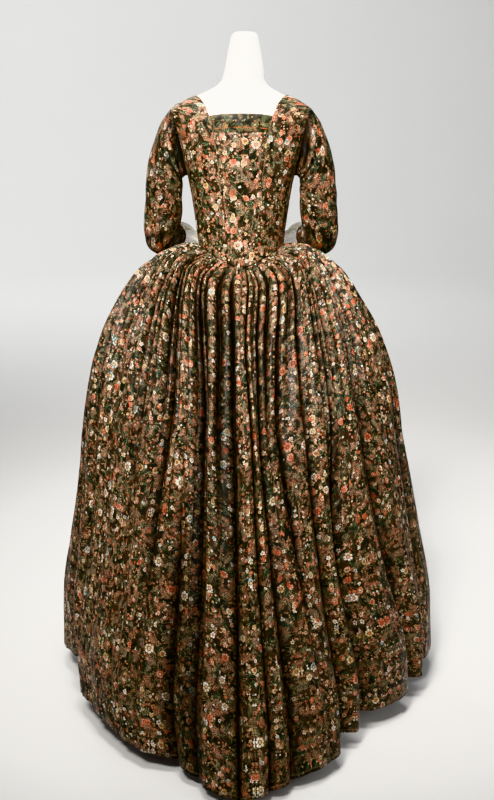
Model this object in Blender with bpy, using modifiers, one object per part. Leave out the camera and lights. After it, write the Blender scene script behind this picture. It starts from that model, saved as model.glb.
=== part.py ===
# A robe a la polonaise on a limbless dress form, in metres, +Z up.
# The origin is at the middle of the stand's underside. The wearer's left is +X and the back is +Y.
# Every cloth piece is a wall worked out from its own sections, folds and seams.
import math
from collections import namedtuple

import bmesh
import bpy
import numpy as np

# Driving sizes
BODICE_WALL = 0.0015
SLEEVE_WALL = 0.0015
FRILL_WALL_ACROSS = 0.0016
SKIRT_WALL = 0.0012
SKIRT_WALL_MOST = 0.0030
SEAM_GAP = 0.0003
WAIST_GAP = 0.0008
SLEEVE_GAP = 0.0005
FORM_CLEARANCE = 0.0029

WAIST_SIDE_HEIGHT = 1.0025
WAIST_BACK_HEIGHT = 0.9565
WAIST_FRONT_HEIGHT = 0.9595
WAIST_POINT = 1.25
WAIST_POINT_FADE = 0.18
NECK_LEAN = -0.008
NECK_LEAN_FROM = 1.310
NECK_LEAN_TO = 1.380
NECKBAND_TOP = 1.280
NECKBAND_FOOT = 1.245

PLEATS = 76
FRONT_PARTING_WAIST = 0.010
FRONT_PARTING_HEM = 0.180

BASE_RADIUS = 0.190
BASE_THICK = 0.012
BOSS_RADIUS = 0.030
BOSS_TOP = 0.045
POLE_RADIUS = 0.016
FORM_FOOT = 0.797
FORM_SIDES = 28

# Horizontal sections of the bodice's outside. Depths are from the middle to the back and the front.
BodySection = namedtuple("BodySection", "height side back front square")
BODY_SECTIONS = (
    BodySection(0.940, 0.0945, 0.0850, 0.0940, 2.00),
    BodySection(1.005, 0.0940, 0.0850, 0.0940, 2.00),
    BodySection(1.050, 0.0995, 0.0865, 0.1030, 2.06),
    BodySection(1.100, 0.1065, 0.0890, 0.1150, 2.15),
    BodySection(1.144, 0.1146, 0.0925, 0.1260, 2.22),
    BodySection(1.176, 0.1227, 0.0945, 0.1300, 2.30),
    BodySection(1.222, 0.1350, 0.0950, 0.1130, 2.42),
    BodySection(1.250, 0.1430, 0.0925, 0.0980, 2.50),
    BodySection(1.276, 0.1510, 0.0880, 0.0860, 2.55),
    BodySection(1.290, 0.1535, 0.0810, 0.0770, 2.45),
    BodySection(1.300, 0.1430, 0.0750, 0.0710, 2.35),
    BodySection(1.310, 0.1260, 0.0690, 0.0660, 2.25),
    BodySection(1.322, 0.1010, 0.0630, 0.0610, 2.10),
    BodySection(1.335, 0.0740, 0.0560, 0.0560, 2.00),
)

# The dress form under the bodice, and its neck
FORM_HIPS = (
    BodySection(FORM_FOOT, 0.1140, 0.0960, 0.0920, 2.00),
    BodySection(0.815, 0.1250, 0.1070, 0.1010, 2.00),
    BodySection(0.850, 0.1290, 0.1110, 0.1040, 2.00),
    BodySection(0.885, 0.1230, 0.1030, 0.1020, 2.00),
    BodySection(0.920, 0.1070, 0.0880, 0.0940, 2.00),
    BodySection(0.945, 0.0950, 0.0800, 0.0890, 2.00),
)
FORM_TRUNK_HEIGHTS = (
    0.965, 1.000, 1.050, 1.100, 1.144, 1.176, 1.205, 1.235, 1.260,
    1.276, 1.286, 1.295, 1.304, 1.313, 1.322, 1.331,
)
FORM_SHOULDER_DROP = 0.0024
FORM_SHOULDER_FROM = 1.200
FORM_SHOULDER_TO = 1.260
FORM_NECK = (
    BodySection(1.340, 0.0570, 0.0490, 0.0500, 2.00),
    BodySection(1.350, 0.0475, 0.0445, 0.0460, 2.00),
    BodySection(1.366, 0.0437, 0.0422, 0.0438, 2.00),
    BodySection(1.384, 0.0406, 0.0405, 0.0420, 2.00),
    BodySection(1.412, 0.0352, 0.0360, 0.0375, 2.00),
    BodySection(1.434, 0.0305, 0.0318, 0.0330, 2.00),
    BodySection(1.446, 0.0270, 0.0285, 0.0295, 2.00),
    BodySection(1.451, 0.0215, 0.0230, 0.0240, 2.00),
)

# The skirt's smooth outside before it is pleated. "down" runs from the waist seam, 0, to the hem, 1.
# "lean" pushes both sides to the wearer's left, and "point" under 2 draws the back out to a train.
SkirtRing = namedtuple("SkirtRing", "down side lean back front z_side z_back z_front point")
SKIRT_RINGS = (
    SkirtRing(0.00, 0.0925, 0.0000, 0.0835, 0.0925, 1.0025, 0.9565, 0.9595, 2.00),
    SkirtRing(0.03, 0.1150, 0.0000, 0.1030, 0.1060, 1.0075, 0.9515, 0.9555, 2.00),
    SkirtRing(0.07, 0.1430, 0.0000, 0.1290, 0.1220, 1.0080, 0.9450, 0.9490, 1.95),
    SkirtRing(0.11, 0.1720, 0.0000, 0.1650, 0.1420, 0.9990, 0.9330, 0.9360, 1.92),
    SkirtRing(0.15, 0.2010, 0.0000, 0.2040, 0.1640, 0.9770, 0.9120, 0.9130, 1.88),
    SkirtRing(0.20, 0.2350, 0.0010, 0.2480, 0.1860, 0.9430, 0.8780, 0.8800, 1.84),
    SkirtRing(0.27, 0.2730, 0.0030, 0.2980, 0.2080, 0.8880, 0.8250, 0.8260, 1.80),
    SkirtRing(0.36, 0.3200, 0.0030, 0.3480, 0.2290, 0.8020, 0.7430, 0.7450, 1.76),
    SkirtRing(0.47, 0.3540, 0.0000, 0.3980, 0.2490, 0.6930, 0.6400, 0.6480, 1.72),
    SkirtRing(0.58, 0.3730, -0.0020, 0.4450, 0.2690, 0.5800, 0.5280, 0.5360, 1.66),
    SkirtRing(0.69, 0.3930, -0.0080, 0.4970, 0.2910, 0.4580, 0.4070, 0.4140, 1.61),
    SkirtRing(0.80, 0.4165, -0.0095, 0.5520, 0.3140, 0.3250, 0.2820, 0.2880, 1.57),
    SkirtRing(0.90, 0.4385, -0.0105, 0.6040, 0.3360, 0.1900, 0.1550, 0.1680, 1.56),
    SkirtRing(1.00, 0.4420, -0.0130, 0.6700, 0.3590, 0.0580, 0.0300, 0.0450, 1.44),
)
# The soft hollow in each side of the skirt's top where the forearm lies over it
ArmHollow = namedtuple("ArmHollow", "turn down wide tall deep")
ARM_HOLLOW = ArmHollow(112.0, 0.105, 25.0, 0.055, 0.029)

# How deep a plain pleat is at each level
PleatDepth = namedtuple("PleatDepth", "down depth")
PLEAT_DEPTHS = (
    PleatDepth(0.00, 0.0028),
    PleatDepth(0.05, 0.0050),
    PleatDepth(0.12, 0.0090),
    PleatDepth(0.22, 0.0125),
    PleatDepth(0.36, 0.0125),
    PleatDepth(0.55, 0.0100),
    PleatDepth(0.75, 0.0070),
    PleatDepth(1.00, 0.0040),
)

# The main folds. "pleat" is the pleat whose hollow the fold follows, counted from the centre back,
# positive to the wearer's left. at_... is where it lies, as a share of the way round, at four levels.
# "wide" is its half width in pleats, and deep_... its depth at the same four levels.
MainFold = namedtuple(
    "MainFold",
    "pleat at_top at_high at_low at_hem wide deep_top deep_high deep_low deep_hem",
)
FOLD_LEVELS = (0.10, 0.30, 0.60, 1.00)
MAIN_FOLDS = (
    MainFold(-34, -0.445, -0.445, -0.445, -0.440, 2.6, 0.004, 0.012, 0.018, 0.030),
    MainFold(-29, -0.385, -0.385, -0.380, -0.375, 1.6, 0.006, 0.018, 0.022, 0.034),
    MainFold(-24, -0.320, -0.318, -0.310, -0.305, 2.0, 0.006, 0.014, 0.020, 0.012),
    MainFold(-20, -0.262, -0.266, -0.256, -0.236, 1.4, 0.006, 0.014, 0.018, 0.064),
    MainFold(-15, -0.188, -0.208, -0.204, -0.211, 1.2, 0.008, 0.020, 0.028, 0.056),
    MainFold(-11, -0.136, -0.156, -0.140, -0.142, 2.0, 0.010, 0.028, 0.040, 0.108),
    MainFold(-8, -0.106, -0.090, -0.101, -0.110, 1.5, 0.008, 0.024, 0.036, 0.080),
    MainFold(-6, -0.082, -0.062, -0.074, -0.079, 0.9, 0.008, 0.018, 0.020, 0.010),
    MainFold(-4, -0.056, -0.040, -0.045, -0.047, 1.3, 0.010, 0.030, 0.032, 0.036),
    MainFold(-2, -0.029, -0.019, -0.021, -0.025, 1.0, 0.012, 0.034, 0.022, 0.034),
    MainFold(-1, -0.008, -0.004, -0.008, -0.010, 0.8, 0.008, 0.014, 0.006, 0.004),
    MainFold(0, 0.020, 0.009, 0.005, 0.002, 1.1, 0.014, 0.036, 0.046, 0.050),
    MainFold(1, 0.038, 0.027, 0.024, 0.017, 0.8, 0.008, 0.016, 0.014, 0.011),
    MainFold(3, 0.080, 0.053, 0.044, 0.046, 1.1, 0.010, 0.030, 0.028, 0.044),
    MainFold(7, 0.126, 0.091, 0.084, 0.078, 1.6, 0.010, 0.032, 0.031, 0.054),
    MainFold(10, 0.163, 0.125, 0.138, 0.125, 1.2, 0.008, 0.022, 0.024, 0.008),
    MainFold(13, 0.199, 0.172, 0.172, 0.168, 1.1, 0.008, 0.020, 0.022, 0.008),
    MainFold(18, 0.252, 0.238, 0.212, 0.213, 1.5, 0.006, 0.016, 0.026, 0.070),
    MainFold(22, 0.300, 0.292, 0.262, 0.242, 2.0, 0.006, 0.018, 0.022, 0.070),
    MainFold(27, 0.355, 0.352, 0.345, 0.336, 1.8, 0.006, 0.016, 0.020, 0.012),
    MainFold(31, 0.405, 0.402, 0.396, 0.390, 1.6, 0.006, 0.014, 0.020, 0.036),
    MainFold(35, 0.455, 0.455, 0.450, 0.445, 2.4, 0.004, 0.012, 0.016, 0.028),
)

# Skirt panels of the wearer's left, as the pleats where each starts and ends
SkirtPanel = namedtuple("SkirtPanel", "name first last")
SKIRT_PANELS = (
    SkirtPanel("skirt_back", 0, 12),
    SkirtPanel("skirt_side", 12, 25),
    SkirtPanel("skirt_front", 25, 38),
)

# Bodice seams on the left half, as degrees round from the centre back against height
SeamPoint = namedtuple("SeamPoint", "turn height")
BACK_SEAM = (
    SeamPoint(8.0, 0.950),
    SeamPoint(13.5, 1.030),
    SeamPoint(16.5, 1.100),
    SeamPoint(16.0, 1.180),
    SeamPoint(15.0, 1.245),
)
SIDE_SEAM = (SeamPoint(98.0, 0.980), SeamPoint(96.0, 1.100), SeamPoint(92.0, 1.152))
SIDE_BACK_TOP = (
    SeamPoint(15.0, NECKBAND_FOOT),
    SeamPoint(18.6, NECKBAND_FOOT),
    SeamPoint(20.2, NECKBAND_TOP),
    SeamPoint(68.5, NECKBAND_TOP),
    SeamPoint(71.5, 1.245),
    SeamPoint(74.5, 1.206),
    SeamPoint(79.5, 1.170),
    SeamPoint(85.0, 1.157),
    SeamPoint(92.0, 1.152),
)
FRONT_TOP = (
    SeamPoint(92.0, 1.152),
    SeamPoint(99.0, 1.157),
    SeamPoint(106.0, 1.172),
    SeamPoint(113.0, 1.206),
    SeamPoint(117.0, 1.248),
    SeamPoint(131.0, 1.256),
    SeamPoint(134.0, 1.225),
    SeamPoint(145.0, 1.205),
    SeamPoint(180.0, 1.198),
)
STRAP_OUTER = (
    SeamPoint(68.5, 1.280),
    SeamPoint(77.0, 1.288),
    SeamPoint(90.0, 1.291),
    SeamPoint(104.0, 1.283),
    SeamPoint(117.0, 1.248),
)
STRAP_INNER = (
    SeamPoint(20.2, 1.280),
    SeamPoint(25.3, 1.296),
    SeamPoint(36.5, 1.309),
    SeamPoint(53.0, 1.318),
    SeamPoint(90.0, 1.3235),
    SeamPoint(116.0, 1.296),
    SeamPoint(131.0, 1.256),
)
# The armhole, from the underarm up the back, over the shoulder and down the front
ARMHOLE = (
    SeamPoint(92.0, 1.152),
    SeamPoint(85.0, 1.157),
    SeamPoint(79.5, 1.170),
    SeamPoint(74.5, 1.206),
    SeamPoint(71.3, 1.247),
    SeamPoint(68.8, 1.277),
    SeamPoint(77.0, 1.288),
    SeamPoint(90.0, 1.291),
    SeamPoint(104.0, 1.283),
    SeamPoint(116.5, 1.250),
    SeamPoint(113.0, 1.206),
    SeamPoint(106.0, 1.172),
    SeamPoint(99.0, 1.157),
    SeamPoint(92.0, 1.152),
)

# Left sleeve sections past the armhole: the middle, how far the section is swung up to the side,
# bent forward at the elbow and turned inward, in degrees, and its half width and half depth
SleeveSection = namedtuple("SleeveSection", "x y z swing bend turn wide deep")
SLEEVE_SECTIONS = (
    SleeveSection(0.1480, 0.000, 1.2070, 66, 0, 0, 0.0620, 0.0510),
    SleeveSection(0.1573, 0.000, 1.1866, 53, 0, 0, 0.0509, 0.0490),
    SleeveSection(0.1641, 0.000, 1.1640, 33, 0, 0, 0.0432, 0.0465),
    SleeveSection(0.1674, 0.001, 1.1340, 12, 0, 0, 0.0404, 0.0455),
    SleeveSection(0.1692, 0.003, 1.1000, 0, 0, 0, 0.0405, 0.0440),
    SleeveSection(0.1718, 0.003, 1.0640, 0, 4, 0, 0.0408, 0.0425),
    SleeveSection(0.1748, -0.002, 1.0360, 0, 20, 4, 0.0392, 0.0410),
    SleeveSection(0.1768, -0.014, 1.0170, 0, 48, 10, 0.0352, 0.0400),
    SleeveSection(0.1745, -0.038, 1.0115, 0, 74, 20, 0.0342, 0.0385),
    SleeveSection(0.1660, -0.066, 1.0130, 0, 86, 26, 0.0350, 0.0365),
    SleeveSection(0.1550, -0.092, 1.0160, 0, 90, 28, 0.0350, 0.0355),
)
SLEEVE_SIDES = 24
CuffFrill = namedtuple("CuffFrill", "x y z swing bend turn wide deep wave")
FRILL_SECTIONS = (
    CuffFrill(0.1548, -0.0926, 1.0160, 0, 90, 28, 0.0350, 0.0355, 0.0000),
    CuffFrill(0.1485, -0.1040, 1.0110, 0, 80, 28, 0.0410, 0.0370, 0.0035),
    CuffFrill(0.1430, -0.1150, 1.0060, 0, 66, 28, 0.0460, 0.0365, 0.0055),
    CuffFrill(0.1385, -0.1240, 0.9990, 0, 56, 28, 0.0500, 0.0355, 0.0070),
)
FRILL_WAVES = 10
FRILL_WAVE_START = math.radians(45)


def smooth_through(places, values, at):
    """Values read from a smooth curve through the rows that never overshoots them."""
    places = np.asarray(places, float)
    values = np.asarray(values, float)
    at = np.clip(np.asarray(at, float), places[0], places[-1])
    steps = np.diff(places)
    slopes = np.diff(values) / steps
    tangents = np.concatenate([slopes[:1], np.zeros(len(places) - 2), slopes[-1:]])
    for i in range(1, len(places) - 1):
        if slopes[i - 1] * slopes[i] > 0:
            before = 2 * steps[i] + steps[i - 1]
            after = steps[i] + 2 * steps[i - 1]
            tangents[i] = (before + after) / (before / slopes[i - 1] + after / slopes[i])
    i = np.clip(np.searchsorted(places, at) - 1, 0, len(steps) - 1)
    u = (at - places[i]) / steps[i]
    start = (2 * u**3 - 3 * u**2 + 1) * values[i] + (u**3 - 2 * u**2 + u) * steps[i] * tangents[i]
    end = (3 * u**2 - 2 * u**3) * values[i + 1] + (u**3 - u**2) * steps[i] * tangents[i + 1]
    return start + end


def column(rows, name):
    return [getattr(row, name) for row in rows]


def signed_power(value, power):
    return np.sign(value) * np.abs(value) ** power


def unit(vectors):
    return vectors / np.linalg.norm(vectors, axis=-1, keepdims=True)


def body_point(turn, height):
    """A point of the bodice's outside. turn is in radians from the centre back, positive to +X."""
    heights = column(BODY_SECTIONS, "height")
    side, back, front, square = (
        smooth_through(heights, column(BODY_SECTIONS, name), height)
        for name in ("side", "back", "front", "square")
    )
    across, along = np.sin(turn), np.cos(turn)
    x = side * signed_power(across, 2 / square)
    y = np.where(along > 0, back, front) * signed_power(along, 2 / square)
    return np.stack([x, y, height + 0 * x], axis=-1)


def body_normal(turn, height):
    step_turn, step_height = 0.01, 0.002
    around = body_point(turn + step_turn, height) - body_point(turn - step_turn, height)
    up = body_point(turn, height + step_height) - body_point(turn, height - step_height)
    return unit(np.cross(up, around))


def dip(turn, pointed):
    """How far a level has dropped from its side height to its middle height, from a soft dip to a point."""
    soft = np.cos(turn) ** 2
    sharp = 1 - np.abs(np.sin(turn)) ** WAIST_POINT
    return pointed * sharp + (1 - pointed) * soft


def waist_height(turn):
    """The waist seam dips to a point at the centre back and the centre front."""
    low = np.where(np.cos(turn) > 0, WAIST_BACK_HEIGHT, WAIST_FRONT_HEIGHT)
    return WAIST_SIDE_HEIGHT + (low - WAIST_SIDE_HEIGHT) * dip(turn, 1.0)


def arm_hollow(turn, down):
    """How far the skirt's top is pressed down under a forearm."""
    across = (np.degrees(np.abs(turn)) - ARM_HOLLOW.turn) / ARM_HOLLOW.wide
    along = (down - ARM_HOLLOW.down) / ARM_HOLLOW.tall
    return ARM_HOLLOW.deep * np.exp(-(across**2) - along**2)


def skirt_base(turn, down):
    """A point of the smooth skirt, by the turn round from the centre back."""
    downs = column(SKIRT_RINGS, "down")
    side, lean, back, front, z_side, z_back, z_front, point = (
        smooth_through(downs, column(SKIRT_RINGS, name), down)
        for name in SkirtRing._fields[1:]
    )
    across, along = np.sin(turn), np.cos(turn)
    power = 2 / np.where(along > 0, point, 2.0)
    x = side * signed_power(across, power) + lean * np.abs(across) ** power
    y = np.where(along > 0, back, front) * signed_power(along, power)
    low = np.where(along > 0, z_back, z_front)
    pointed = np.clip(1 - down / WAIST_POINT_FADE, 0, 1)
    z = z_side + (low - z_side) * dip(turn, pointed) - arm_hollow(turn, down)
    return np.stack([x, y, z], axis=-1)


TURNS = np.linspace(-math.pi, math.pi, 721)


def skirt_round(share, down):
    """A point of the smooth skirt at one level, by the share of the way round from the centre back."""
    ring = skirt_base(TURNS, np.full(len(TURNS), down))
    run = np.concatenate([[0], np.cumsum(np.linalg.norm(np.diff(ring, axis=0), axis=1))])
    middle = run[len(run) // 2]
    shares = np.where(TURNS < 0, (run - middle) / middle, (run - middle) / (run[-1] - middle)) / 2
    share = (np.asarray(share) + 0.5) % 1.0 - 0.5
    return np.stack([np.interp(share, shares, ring[:, axis]) for axis in range(3)], axis=-1)


def skirt_perimeter(down):
    ring = skirt_base(TURNS, np.full(len(TURNS), down))
    return np.linalg.norm(np.diff(ring, axis=0), axis=1).sum()


def skirt_normal(share, down):
    reach, step = 0.014, 0.02
    around = skirt_round(share + reach, down) - skirt_round(share - reach, down)
    lower, upper = min(down + step, 1.0), max(down - step, 0.0)
    fall = skirt_round(share, lower) - skirt_round(share, upper)
    return unit(np.cross(around, fall))


def fold_place(fold):
    """The cloth position of a fold's hollow, from -0.5 to 0.5 round the skirt."""
    return (fold.pleat + 0.5) / PLEATS


def share_of_cloth(cloth, down):
    """Where a line of the cloth lies round the skirt, so that pleats run along the main folds."""
    parting = FRONT_PARTING_WAIST + (FRONT_PARTING_HEM - FRONT_PARTING_WAIST) * down
    edge = 0.5 - parting / 2 / skirt_perimeter(down)
    places = [-0.5] + [fold_place(fold) for fold in MAIN_FOLDS] + [0.5]
    shares = [
        float(smooth_through(FOLD_LEVELS, fold[1:5], down)) for fold in MAIN_FOLDS
    ]
    return smooth_through(places, [-edge] + shares + [edge], cloth)


def pleat_strength(pleat):
    """Pleats are uneven: each has its own depth, from two waves of different length."""
    short_wave, long_wave = 0.28, 0.16
    return 1.0 + short_wave * np.sin(2.3 * pleat + 0.6) + long_wave * np.sin(0.9 * pleat)


def fold_depth(cloth, down):
    """How far the cloth lies behind the smooth skirt."""
    fade_pleats, flank = 3, 1.5
    plain = smooth_through(column(PLEAT_DEPTHS, "down"), column(PLEAT_DEPTHS, "depth"), down)
    along = cloth * PLEATS
    hollow = 0.5 - 0.5 * np.cos(2 * math.pi * along)
    near_edge = np.clip((0.5 - np.abs(cloth)) * PLEATS / fade_pleats, 0, 1)
    depth = plain * hollow * pleat_strength(np.floor(along)) * near_edge
    for fold in MAIN_FOLDS:
        deep = float(smooth_through(FOLD_LEVELS, fold[6:10], down)) * min(1, down / FOLD_LEVELS[0])
        away = np.abs(cloth - fold_place(fold)) * PLEATS / fold.wide
        depth = depth + deep * np.exp(-(away**flank))
    return depth


def parts_collection():
    made = bpy.data.collections.new("robe_a_la_polonaise")
    bpy.context.scene.collection.children.link(made)
    return made


def material(name, colour, roughness, sheen=0.0):
    made = bpy.data.materials.new(name)
    made.use_nodes = True
    shader = made.node_tree.nodes["Principled BSDF"]
    shader.inputs["Base Color"].default_value = (*colour, 1.0)
    shader.inputs["Roughness"].default_value = roughness
    shader.inputs["Metallic"].default_value = 0.0
    shader.inputs["Sheen Weight"].default_value = sheen
    return made


def finish(name, mesh, look):
    """Makes the mesh an object of its own, with its faces pointing out."""
    bmesh.ops.recalc_face_normals(mesh, faces=mesh.faces)
    if mesh.calc_volume(signed=True) < 0:
        bmesh.ops.reverse_faces(mesh, faces=mesh.faces)
    data = bpy.data.meshes.new(name)
    mesh.to_mesh(data)
    mesh.free()
    data.shade_smooth()
    data.set_sharp_from_angle(angle=math.radians(50))
    data.materials.append(look)
    made = bpy.data.objects.new(name, data)
    PARTS.objects.link(made)
    return made


def grid(columns, rows, around):
    """A grid whose points hold their place across and up, flat or rolled into a tube."""
    mesh = bmesh.new()
    bmesh.ops.create_grid(mesh, x_segments=columns, y_segments=rows, size=0.5)
    for point in mesh.verts:
        across, up = point.co.x + 0.5, point.co.y + 0.5
        angle = 2 * math.pi * across
        point.co = (math.cos(angle), math.sin(angle), up) if around else (across, up, 0.0)
    if around:
        bmesh.ops.remove_doubles(mesh, verts=mesh.verts, dist=1e-5)
    return mesh


def place_points(points, surface, around):
    """Moves the points of a grid to where surface(across, up) says."""
    held = np.array([point.co for point in points], float)
    if around:
        across = np.arctan2(held[:, 1], held[:, 0]) / (2 * math.pi) % 1.0
        up = held[:, 2]
    else:
        across, up = held[:, 0], held[:, 1]
    for point, place in zip(points, surface(across, up)):
        point.co = place


def wall(name, columns, rows, outer, inner, look, around=False):
    """A cloth wall between two surfaces, closed at its rims. Each surface takes a place across and up."""
    mesh = grid(columns, rows, around)
    inner_points = list(mesh.verts)
    pulled = bmesh.ops.extrude_face_region(mesh, geom=mesh.faces[:], use_keep_orig=True)
    outer_points = [item for item in pulled["geom"] if isinstance(item, bmesh.types.BMVert)]
    place_points(outer_points, outer, around)
    place_points(inner_points, inner, around)
    return finish(name, mesh, look)


def along_seam(seam, height):
    """The turn of a seam at a height, in radians."""
    return np.radians(smooth_through(column(seam, "height"), column(seam, "turn"), height))


def turned_by(turn, height, distance):
    """A turn moved round the bodice by a distance."""
    reach = 0.01
    run = body_point(turn + reach, height) - body_point(turn - reach, height)
    return turn + distance * 2 * reach / np.linalg.norm(run, axis=-1)


def bodice_wall(name, side, columns, rows, place, look):
    """A piece of the bodice on one side. place gives its turn and height for a place across and up."""

    def outer(across, up):
        turn, height = place(across, up)
        return body_point(turn, height) * (side, 1, 1)

    def inner(across, up):
        turn, height = place(across, up)
        point = body_point(turn, height) - BODICE_WALL * body_normal(turn, height)
        return point * (side, 1, 1)

    return wall(name, columns, rows, outer, inner, look)


def upright_piece(left, right, top, stations):
    """The places of a bodice panel between two seams, from the waist up to its top edge."""
    station_places = np.linspace(0, 1, len(stations))

    def place(across, up):
        top_turn = np.interp(across, station_places, stations)
        top_height = np.interp(top_turn, column(top, "turn"), column(top, "height")) - SEAM_GAP / 2

        def turn_at(height):
            slide_left = np.degrees(left(height)) - stations[0]
            slide_right = np.degrees(right(height)) - stations[-1]
            return np.radians(top_turn + slide_left * (1 - across) + slide_right * across)

        foot_turn = turn_at(waist_height(np.radians(top_turn)))
        foot = waist_height(foot_turn) + WAIST_GAP
        height = foot + (top_height - foot) * up
        return turn_at(height), height

    return place


def centre_gap(piece, side, centre_x):
    """Moves the points on the centre line half a seam's gap to their own side."""
    for point in piece.data.vertices:
        if abs(point.co.x - centre_x) < 1e-6:
            point.co.x += side * SEAM_GAP / 2


def build_bodice(side, tail, look):
    """The four cut pieces and the shoulder strap of one side."""

    def back_edge(height):
        return turned_by(along_seam(BACK_SEAM, height), height, -SEAM_GAP / 2)

    def side_back_edge(height):
        return turned_by(along_seam(BACK_SEAM, height), height, SEAM_GAP / 2)

    def side_edge(height):
        return turned_by(along_seam(SIDE_SEAM, height), height, -SEAM_GAP / 2)

    def front_side_edge(height):
        return turned_by(along_seam(SIDE_SEAM, height), height, SEAM_GAP / 2)

    back = bodice_wall(
        "bodice_back_" + tail, side, 3, 7,
        upright_piece(lambda height: 0 * height, back_edge, SIDE_BACK_TOP, (0.0, 4.0, 9.0, 15.0)),
        look,
    )
    centre_gap(back, side, 0.0)
    bodice_wall(
        "bodice_side_back_" + tail, side, 12, 7,
        upright_piece(
            side_back_edge, side_edge, SIDE_BACK_TOP,
            (15.0, 16.8, 18.6, 20.2, 32.0, 44.0, 56.0, 68.5, 71.5, 74.5, 79.5, 85.0, 92.0),
        ),
        look,
    )
    front = bodice_wall(
        "bodice_front_" + tail, side, 12, 7,
        upright_piece(
            front_side_edge, lambda height: math.pi + 0 * height, FRONT_TOP,
            (92.0, 99.0, 106.0, 113.0, 117.0, 124.0, 131.0, 134.0, 145.0, 154.0, 163.0, 172.0, 180.0),
        ),
        look,
    )
    centre_gap(front, side, 0.0)
    build_strap(side, tail, look)


def build_strap(side, tail, look):
    outer_turns, inner_turns = column(STRAP_OUTER, "turn"), column(STRAP_INNER, "turn")

    def place(across, up):
        outer_turn = outer_turns[0] + (outer_turns[-1] - outer_turns[0]) * up
        inner_turn = inner_turns[0] + (inner_turns[-1] - inner_turns[0]) * up
        outer_height = smooth_through(outer_turns, column(STRAP_OUTER, "height"), outer_turn)
        inner_height = smooth_through(inner_turns, column(STRAP_INNER, "height"), inner_turn)
        turn = np.radians(outer_turn + (inner_turn - outer_turn) * across)
        height = outer_height + (inner_height - outer_height) * across
        at_seam = np.where((up < 1e-6) | (up > 1 - 1e-6), SEAM_GAP / 2, 0)
        return turn, height + at_seam

    return bodice_wall("shoulder_strap_" + tail, side, 4, 14, place, look)


def build_neckband(look):
    """The strip across the back of the neckline."""
    foot_turn, top_turn = SIDE_BACK_TOP[1].turn, SIDE_BACK_TOP[2].turn

    def place(across, up):
        height = NECKBAND_FOOT + SEAM_GAP / 2 + (NECKBAND_TOP - NECKBAND_FOOT - SEAM_GAP / 2) * up
        reach = np.radians(foot_turn + (top_turn - foot_turn) * up)
        reach = turned_by(reach, height, -SEAM_GAP)
        return reach * (2 * across - 1), height

    return bodice_wall("back_neckband", 1, 12, 2, place, look)


def section_axes(section):
    """The outward and the backward axis of a sleeve section."""
    swing, bend, turn = (math.radians(value) for value in (section.swing, section.bend, section.turn))
    out = np.array([math.cos(swing), 0.0, math.sin(swing)])
    down = np.array([math.sin(swing), 0.0, -math.cos(swing)])
    back = np.array([0.0, 1.0, 0.0])
    bent_back = math.cos(bend) * back + math.sin(bend) * down
    spin = np.array(
        [
            [math.cos(turn), math.sin(turn), 0.0],
            [-math.sin(turn), math.cos(turn), 0.0],
            [0.0, 0.0, 1.0],
        ]
    )
    return spin @ out, spin @ bent_back


def section_ring(section, angle, inset, wave=0.0):
    """Points of an oval section, by the angle from its outer side round towards the back."""
    out, back = section_axes(section)
    wide = (section.wide - inset + wave)[:, None] if np.ndim(wave) else section.wide - inset
    deep = (section.deep - inset + wave)[:, None] if np.ndim(wave) else section.deep - inset
    middle = np.array([section.x, section.y, section.z])
    return middle + wide * np.cos(angle)[:, None] * out + deep * np.sin(angle)[:, None] * back


def armhole_ring(angle, inset):
    """The sleeve's edge, which lies along the armhole, just proud of the bodice."""
    turns = np.radians(column(ARMHOLE, "turn"))
    heights = np.array(column(ARMHOLE, "height"))
    path = body_point(turns, heights)
    middle = (path.min(axis=0) + path.max(axis=0)) / 2
    out = unit(path[len(path) // 2] - path[0])
    angles = np.unwrap(np.arctan2((path - middle)[:, 1], (path - middle) @ out))
    order = np.argsort(angles)
    wrapped = (angle - angles.min()) % (2 * math.pi) + angles.min()
    turn = np.interp(wrapped, angles[order], turns[order])
    height = np.interp(wrapped, angles[order], heights[order])
    normal = body_normal(turn, height)
    point = body_point(turn, height) + SLEEVE_GAP * normal
    radial = point - middle
    radial = unit(radial - np.sum(radial * normal, axis=-1, keepdims=True) * normal)
    return point + (SLEEVE_WALL / 2 - inset) * radial


def tube_surface(side, rings):
    """A surface through rings, each a function of the angle, as a function of a place across and up."""

    def surface(across, up):
        level = np.rint(up * (len(rings) - 1)).astype(int)
        points = np.zeros((len(across), 3))
        for i, ring in enumerate(rings):
            here = level == i
            points[here] = ring(2 * math.pi * across[here])
        return points * (side, 1, 1)

    return surface


def build_sleeve(side, tail, look):
    def rings(inset):
        yield lambda angle: armhole_ring(angle, inset)
        for section in SLEEVE_SECTIONS:
            yield lambda angle, section=section: section_ring(section, angle, inset)

    return wall(
        "sleeve_" + tail, SLEEVE_SIDES, len(SLEEVE_SECTIONS),
        tube_surface(side, list(rings(0.0))), tube_surface(side, list(rings(SLEEVE_WALL))),
        look, around=True,
    )


def build_frill(side, tail, look):
    """The gathered frill that falls from the end of a sleeve."""

    def rings(inset):
        for section in FRILL_SECTIONS:

            def ring(angle, section=section):
                wave = section.wave * np.cos(FRILL_WAVES * angle + FRILL_WAVE_START)
                return section_ring(section, angle, inset, wave)

            yield ring

    return wall(
        "sleeve_frill_" + tail, 4 * FRILL_WAVES, len(FRILL_SECTIONS) - 1,
        tube_surface(side, list(rings(0.0))), tube_surface(side, list(rings(FRILL_WALL_ACROSS))),
        look, around=True,
    )


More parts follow.
